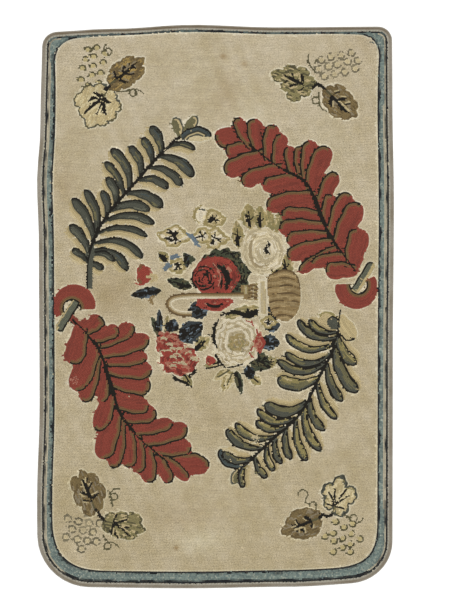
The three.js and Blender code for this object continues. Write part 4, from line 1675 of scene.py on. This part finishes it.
def tape_section():
    """The folded tape cut across: the share of its width in from the fold, and of its height."""
    bend = TAPE_HEIGHT / 2
    turns = np.radians(np.linspace(-90, -270, 11))
    outer = [(bend + bend * math.cos(a), bend + bend * math.sin(a)) for a in turns]
    hollow = bend - TAPE_THICKNESS
    inner = [(bend + hollow * math.cos(a), bend + hollow * math.sin(a)) for a in turns[::-1]]
    upper = [(8.0, TAPE_HEIGHT), (TAPE_WIDTH - 0.5, TAPE_HEIGHT - 0.1), (TAPE_WIDTH, TAPE_HEIGHT - 0.6)]
    upper += [(TAPE_WIDTH - 0.1, TAPE_HEIGHT - TAPE_THICKNESS), (8.0, TAPE_HEIGHT - TAPE_THICKNESS)]
    lower = [(x, TAPE_HEIGHT - y) for x, y in upper[::-1]]
    return np.array(outer + upper + inner + lower)[::-1] / (TAPE_WIDTH, TAPE_HEIGHT)


def closed_line(name, points):
    """A closed line of edges on the plan, for a tree to follow."""
    line = new_object(name, np.column_stack([points * MM, np.zeros(len(points))]).tolist(), [])
    line.data.edges.add(len(points))
    ends = np.column_stack([np.arange(len(points)), np.roll(np.arange(len(points)), -1)])
    line.data.edges.foreach_set("vertices", ends.ravel())
    return line


def tape_tree():
    """Geometry nodes that carry the folded tape's section along the edge of the rug."""
    inputs = {
        "Edge": "Geometry",
        "Section": "Object",
        "Width": "Float",
        "Height": "Float",
        "Cloth": "Material",
    }
    tree, given = new_tree("GeometryNodeTree", "folded tape", inputs, {"Tape": "Geometry"})

    def keep(geometry, name, value):
        """Keeps a value with the geometry, for the tape's material."""
        kept = {"Geometry": geometry, "Name": name, "Value": value}
        stored = add(tree, "GeometryNodeStoreNamedAttribute", kept, data_type="FLOAT", domain="POINT")
        return stored.outputs[0]

    edge = add(tree, "GeometryNodeMeshToCurve", {"Mesh": given["Edge"]})
    length = add(tree, "GeometryNodeSplineParameter").outputs["Length"]
    along = keep(edge.outputs[0], "along", length)
    shape = add(tree, "GeometryNodeObjectInfo", {"Object": given["Section"]})
    section = add(tree, "GeometryNodeMeshToCurve", {"Mesh": shape.outputs["Geometry"]})
    size = add(tree, "ShaderNodeCombineXYZ", {"X": given["Width"], "Y": given["Height"], "Z": 1.0})
    sized = add(tree, "GeometryNodeTransform", {"Geometry": section.outputs[0], "Scale": size.outputs[0]})
    place = add(tree, "ShaderNodeSeparateXYZ", {0: add(tree, "GeometryNodeInputPosition").outputs[0]})
    inset = keep(sized.outputs[0], "inset", place.outputs["X"])
    turned = add(tree, "GeometryNodeTransform", {"Geometry": inset, "Rotation": (0, 0, math.pi)})
    tape = add(tree, "GeometryNodeCurveToMesh", {"Curve": along, "Profile Curve": turned.outputs[0]})
    soft = add(tree, "GeometryNodeSetShadeSmooth", {"Geometry": tape.outputs[0]})
    real = add(tree, "GeometryNodeRealizeInstances", {"Geometry": soft.outputs[0]})
    cloth = {"Geometry": real.outputs[0], "Material": given["Cloth"]}
    add(tree, "NodeGroupOutput", {"Tape": add(tree, "GeometryNodeSetMaterial", cloth).outputs[0]})
    return tree


def blended(tree, share, first, second):
    """Two colours mixed, from all the first at 0 to all the second at 1."""
    return add(tree, "ShaderNodeMix", {0: share, 6: first, 7: second}, data_type="RGBA").outputs[2]


def tape_material():
    """Faded cotton twill: fine slanting ribs with painted shade between them, a paler woven edge, greyer and
    browner by turns along its length, with a brown band along its crease that is darkest at the head."""
    material, tree, shader = new_material("faded twill tape", roughness=0.9, shine=0.2)
    along, inset, soil = (
        add(tree, "ShaderNodeAttribute", attribute_name=name).outputs["Fac"]
        for name in ("along", "inset", "soil")
    )
    place = add(tree, "ShaderNodeTexCoord").outputs["Object"]
    slant = maths(tree, "ADD", along, inset)
    # painted shade between the slanting ribs of the twill, and a faint painted highlight on them
    twill = effect(tree, ribs, way_across=slant, pitch=TWILL_PITCH * MM, depth=0.16)
    fibre = effect(tree, spun_fibre, place=place, fineness=300.0, contrast=0.12)
    fade = add(tree, "ShaderNodeTexNoise", {"Vector": place, "Scale": 14.0, "Detail": 4.0}).outputs[0]
    wear = ranged(tree, fade, 0.35, 0.65)
    colour = blended(tree, wear, (*TAPE_BROWN, 1.0), (*TAPE_GREY_TAN, 1.0))
    # a brown band along the crease, strongest at the head
    from_crease = maths(tree, "ABSOLUTE", maths(tree, "SUBTRACT", inset, CREASE_INSET * MM))
    near_crease = ranged(tree, from_crease, 0.0, CREASE_REACH * MM, 1.0, 0.0)
    colour = blended(tree, maths(tree, "MULTIPLY", near_crease, soil), colour, (*CREASE_BROWN, 1.0))
    at_edge = ranged(tree, inset, PALE_EDGE_START * MM, PALE_EDGE_FULL * MM, 0.0, PALE_EDGE_SHARE)
    colour = blended(tree, at_edge, colour, (*TAPE_PALE, 1.0))
    shade = maths(tree, "MULTIPLY", twill["Shade"], fibre["Shade"])
    cover(tree, shader, colour, shade, twill["Height"], strength=0.5, depth=0.0004)
    return material


fold, _ = evenly(wall("binding_tape", TAPE_HEIGHT / 2), TAPE_STEP, closed=True)
from_join = np.where(fold[:, 1] < 0, np.abs(fold[:, 0] - TAPE_JOIN_X), np.inf)
fold = np.roll(fold, -np.argmin(from_join), axis=0)
section = closed_line("tape_section", tape_section() / MM)
tape_inputs = {
    "Section": section,
    "Width": TAPE_WIDTH * MM,
    "Height": TAPE_HEIGHT * MM,
    "Cloth": tape_material(),
}
fold_line = closed_line("binding", fold)
give_numbers(fold_line, "soil", by_side(CREASE_DARKNESS, fold))
tape = grow(fold_line, tape_tree(), tape_inputs)
bpy.data.objects.remove(section)
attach(tape, "root")
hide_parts("binding_tape")

# The stitches: short arched lengths of thread that slant over the inner edge of the tape.
STITCH_PITCH = 8.0
STITCH_LENGTH, STITCH_THREAD, STITCH_RISE = 6.0, 1.2, 0.9
STITCH_SLANT = 62  # degrees from the run of the tape
STITCH_INSET = 1.2  # from the sewn edge of the tape
STITCH_LEAN, STITCH_LOWEST = 0.08, 0.85
STITCH_ARCH = [0.3, 0.85, 1.0, 0.85, 0.3]
THREAD_BROWN = dye(112, 100, 78)
THREAD_FADE = (0.85, 1.15)


def stitch_shape():
    """A stitch of a size of 1: a ridge of thread that dips at both ends."""
    points, faces = [], []
    for i, rise in enumerate(STITCH_ARCH):
        x = i / (len(STITCH_ARCH) - 1) - 0.5
        points += [(x, -0.5, 0), (x, 0, rise), (x, 0.5, 0)]
    for i in range(0, len(points) - 3, 3):
        for j, k in ((0, 1), (1, 2), (2, 0)):
            faces.append((i + j, i + 3 + j, i + 3 + k, i + k))
    last = len(points) - 3
    return new_object("stitch", points, [*faces, (0, 1, 2), (last + 2, last + 1, last)])


def thread_material():
    """Brown cotton thread, unevenly faded."""
    material, tree, shader = new_material("brown thread", roughness=0.85, shine=0.25)
    yarn = add(tree, "ShaderNodeAttribute", attribute_name="yarn").outputs["Color"]
    place = add(tree, "ShaderNodeTexCoord").outputs["Object"]
    fibre = effect(tree, spun_fibre, place=place, fineness=900.0, contrast=0.12)
    cover(tree, shader, yarn, fibre["Shade"], fibre["Height"], strength=0.3, depth=0.0003)
    return material


stitch = stitch_shape()
sewn_line, angles = evenly(beside(fold, TAPE_WIDTH - STITCH_INSET, closed=True), STITCH_PITCH, closed=True)
faded = rng.uniform(*THREAD_FADE, (len(sewn_line), 1))
stitch_inputs = {
    "Shape": stitch,
    "Size": (STITCH_LENGTH * MM, STITCH_THREAD * MM, STITCH_RISE * MM),
    "Lean": STITCH_LEAN,
    "Lowest": STITCH_LOWEST,
    "Seed": 1,
    "Yarn": thread_material(),
}
stitches = set_in_yarn(
    "binding_stitches",
    sewn_line,
    TAPE_HEIGHT - STITCH_RISE / 3,
    angles + math.radians(STITCH_SLANT),
    faded * THREAD_BROWN,
    stitch_inputs,
)
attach(stitches, "root")
bpy.data.objects.remove(stitch)
bpy.data.objects.remove(loop_shape)

# Floor and light
# A plain pale floor under the rug, a large soft light high above its head end, and even light all round.
FLOOR_REACH = 6
FLOOR_COLOUR = (0.86, 0.86, 0.85, 1)
LAMP_PLACE, LAMP_SIZE, LAMP_POWER = (0.1, 0.4, 4.2), 3.0, 150
ROOM_LIGHT = 0.75

floor_corners = [(x * FLOOR_REACH, y * FLOOR_REACH, 0) for x, y in ((-1, -1), (1, -1), (1, 1), (-1, 1))]
floor = new_object("floor", floor_corners, [(0, 1, 2, 3)])
floor_paint, _, floor_shader = new_material("pale floor", roughness=0.9, shine=0.5)
floor_shader.inputs["Base Color"].default_value = FLOOR_COLOUR
floor.data.materials.append(floor_paint)

lamp = bpy.data.objects.new("soft light", bpy.data.lights.new("soft light", "AREA"))
lamp.data.size = LAMP_SIZE
lamp.data.energy = LAMP_POWER
lamp.location = LAMP_PLACE
lamp.rotation_euler = (-lamp.location).to_track_quat("-Z", "Y").to_euler()
bpy.context.collection.objects.link(lamp)
world = bpy.data.worlds.new("studio")
world.use_nodes = True
world.node_tree.nodes["Background"].inputs["Color"].default_value = (1, 1, 1, 1)
world.node_tree.nodes["Background"].inputs["Strength"].default_value = ROOM_LIGHT
bpy.context.scene.world = world
bpy.context.scene.view_settings.view_transform = "Standard"
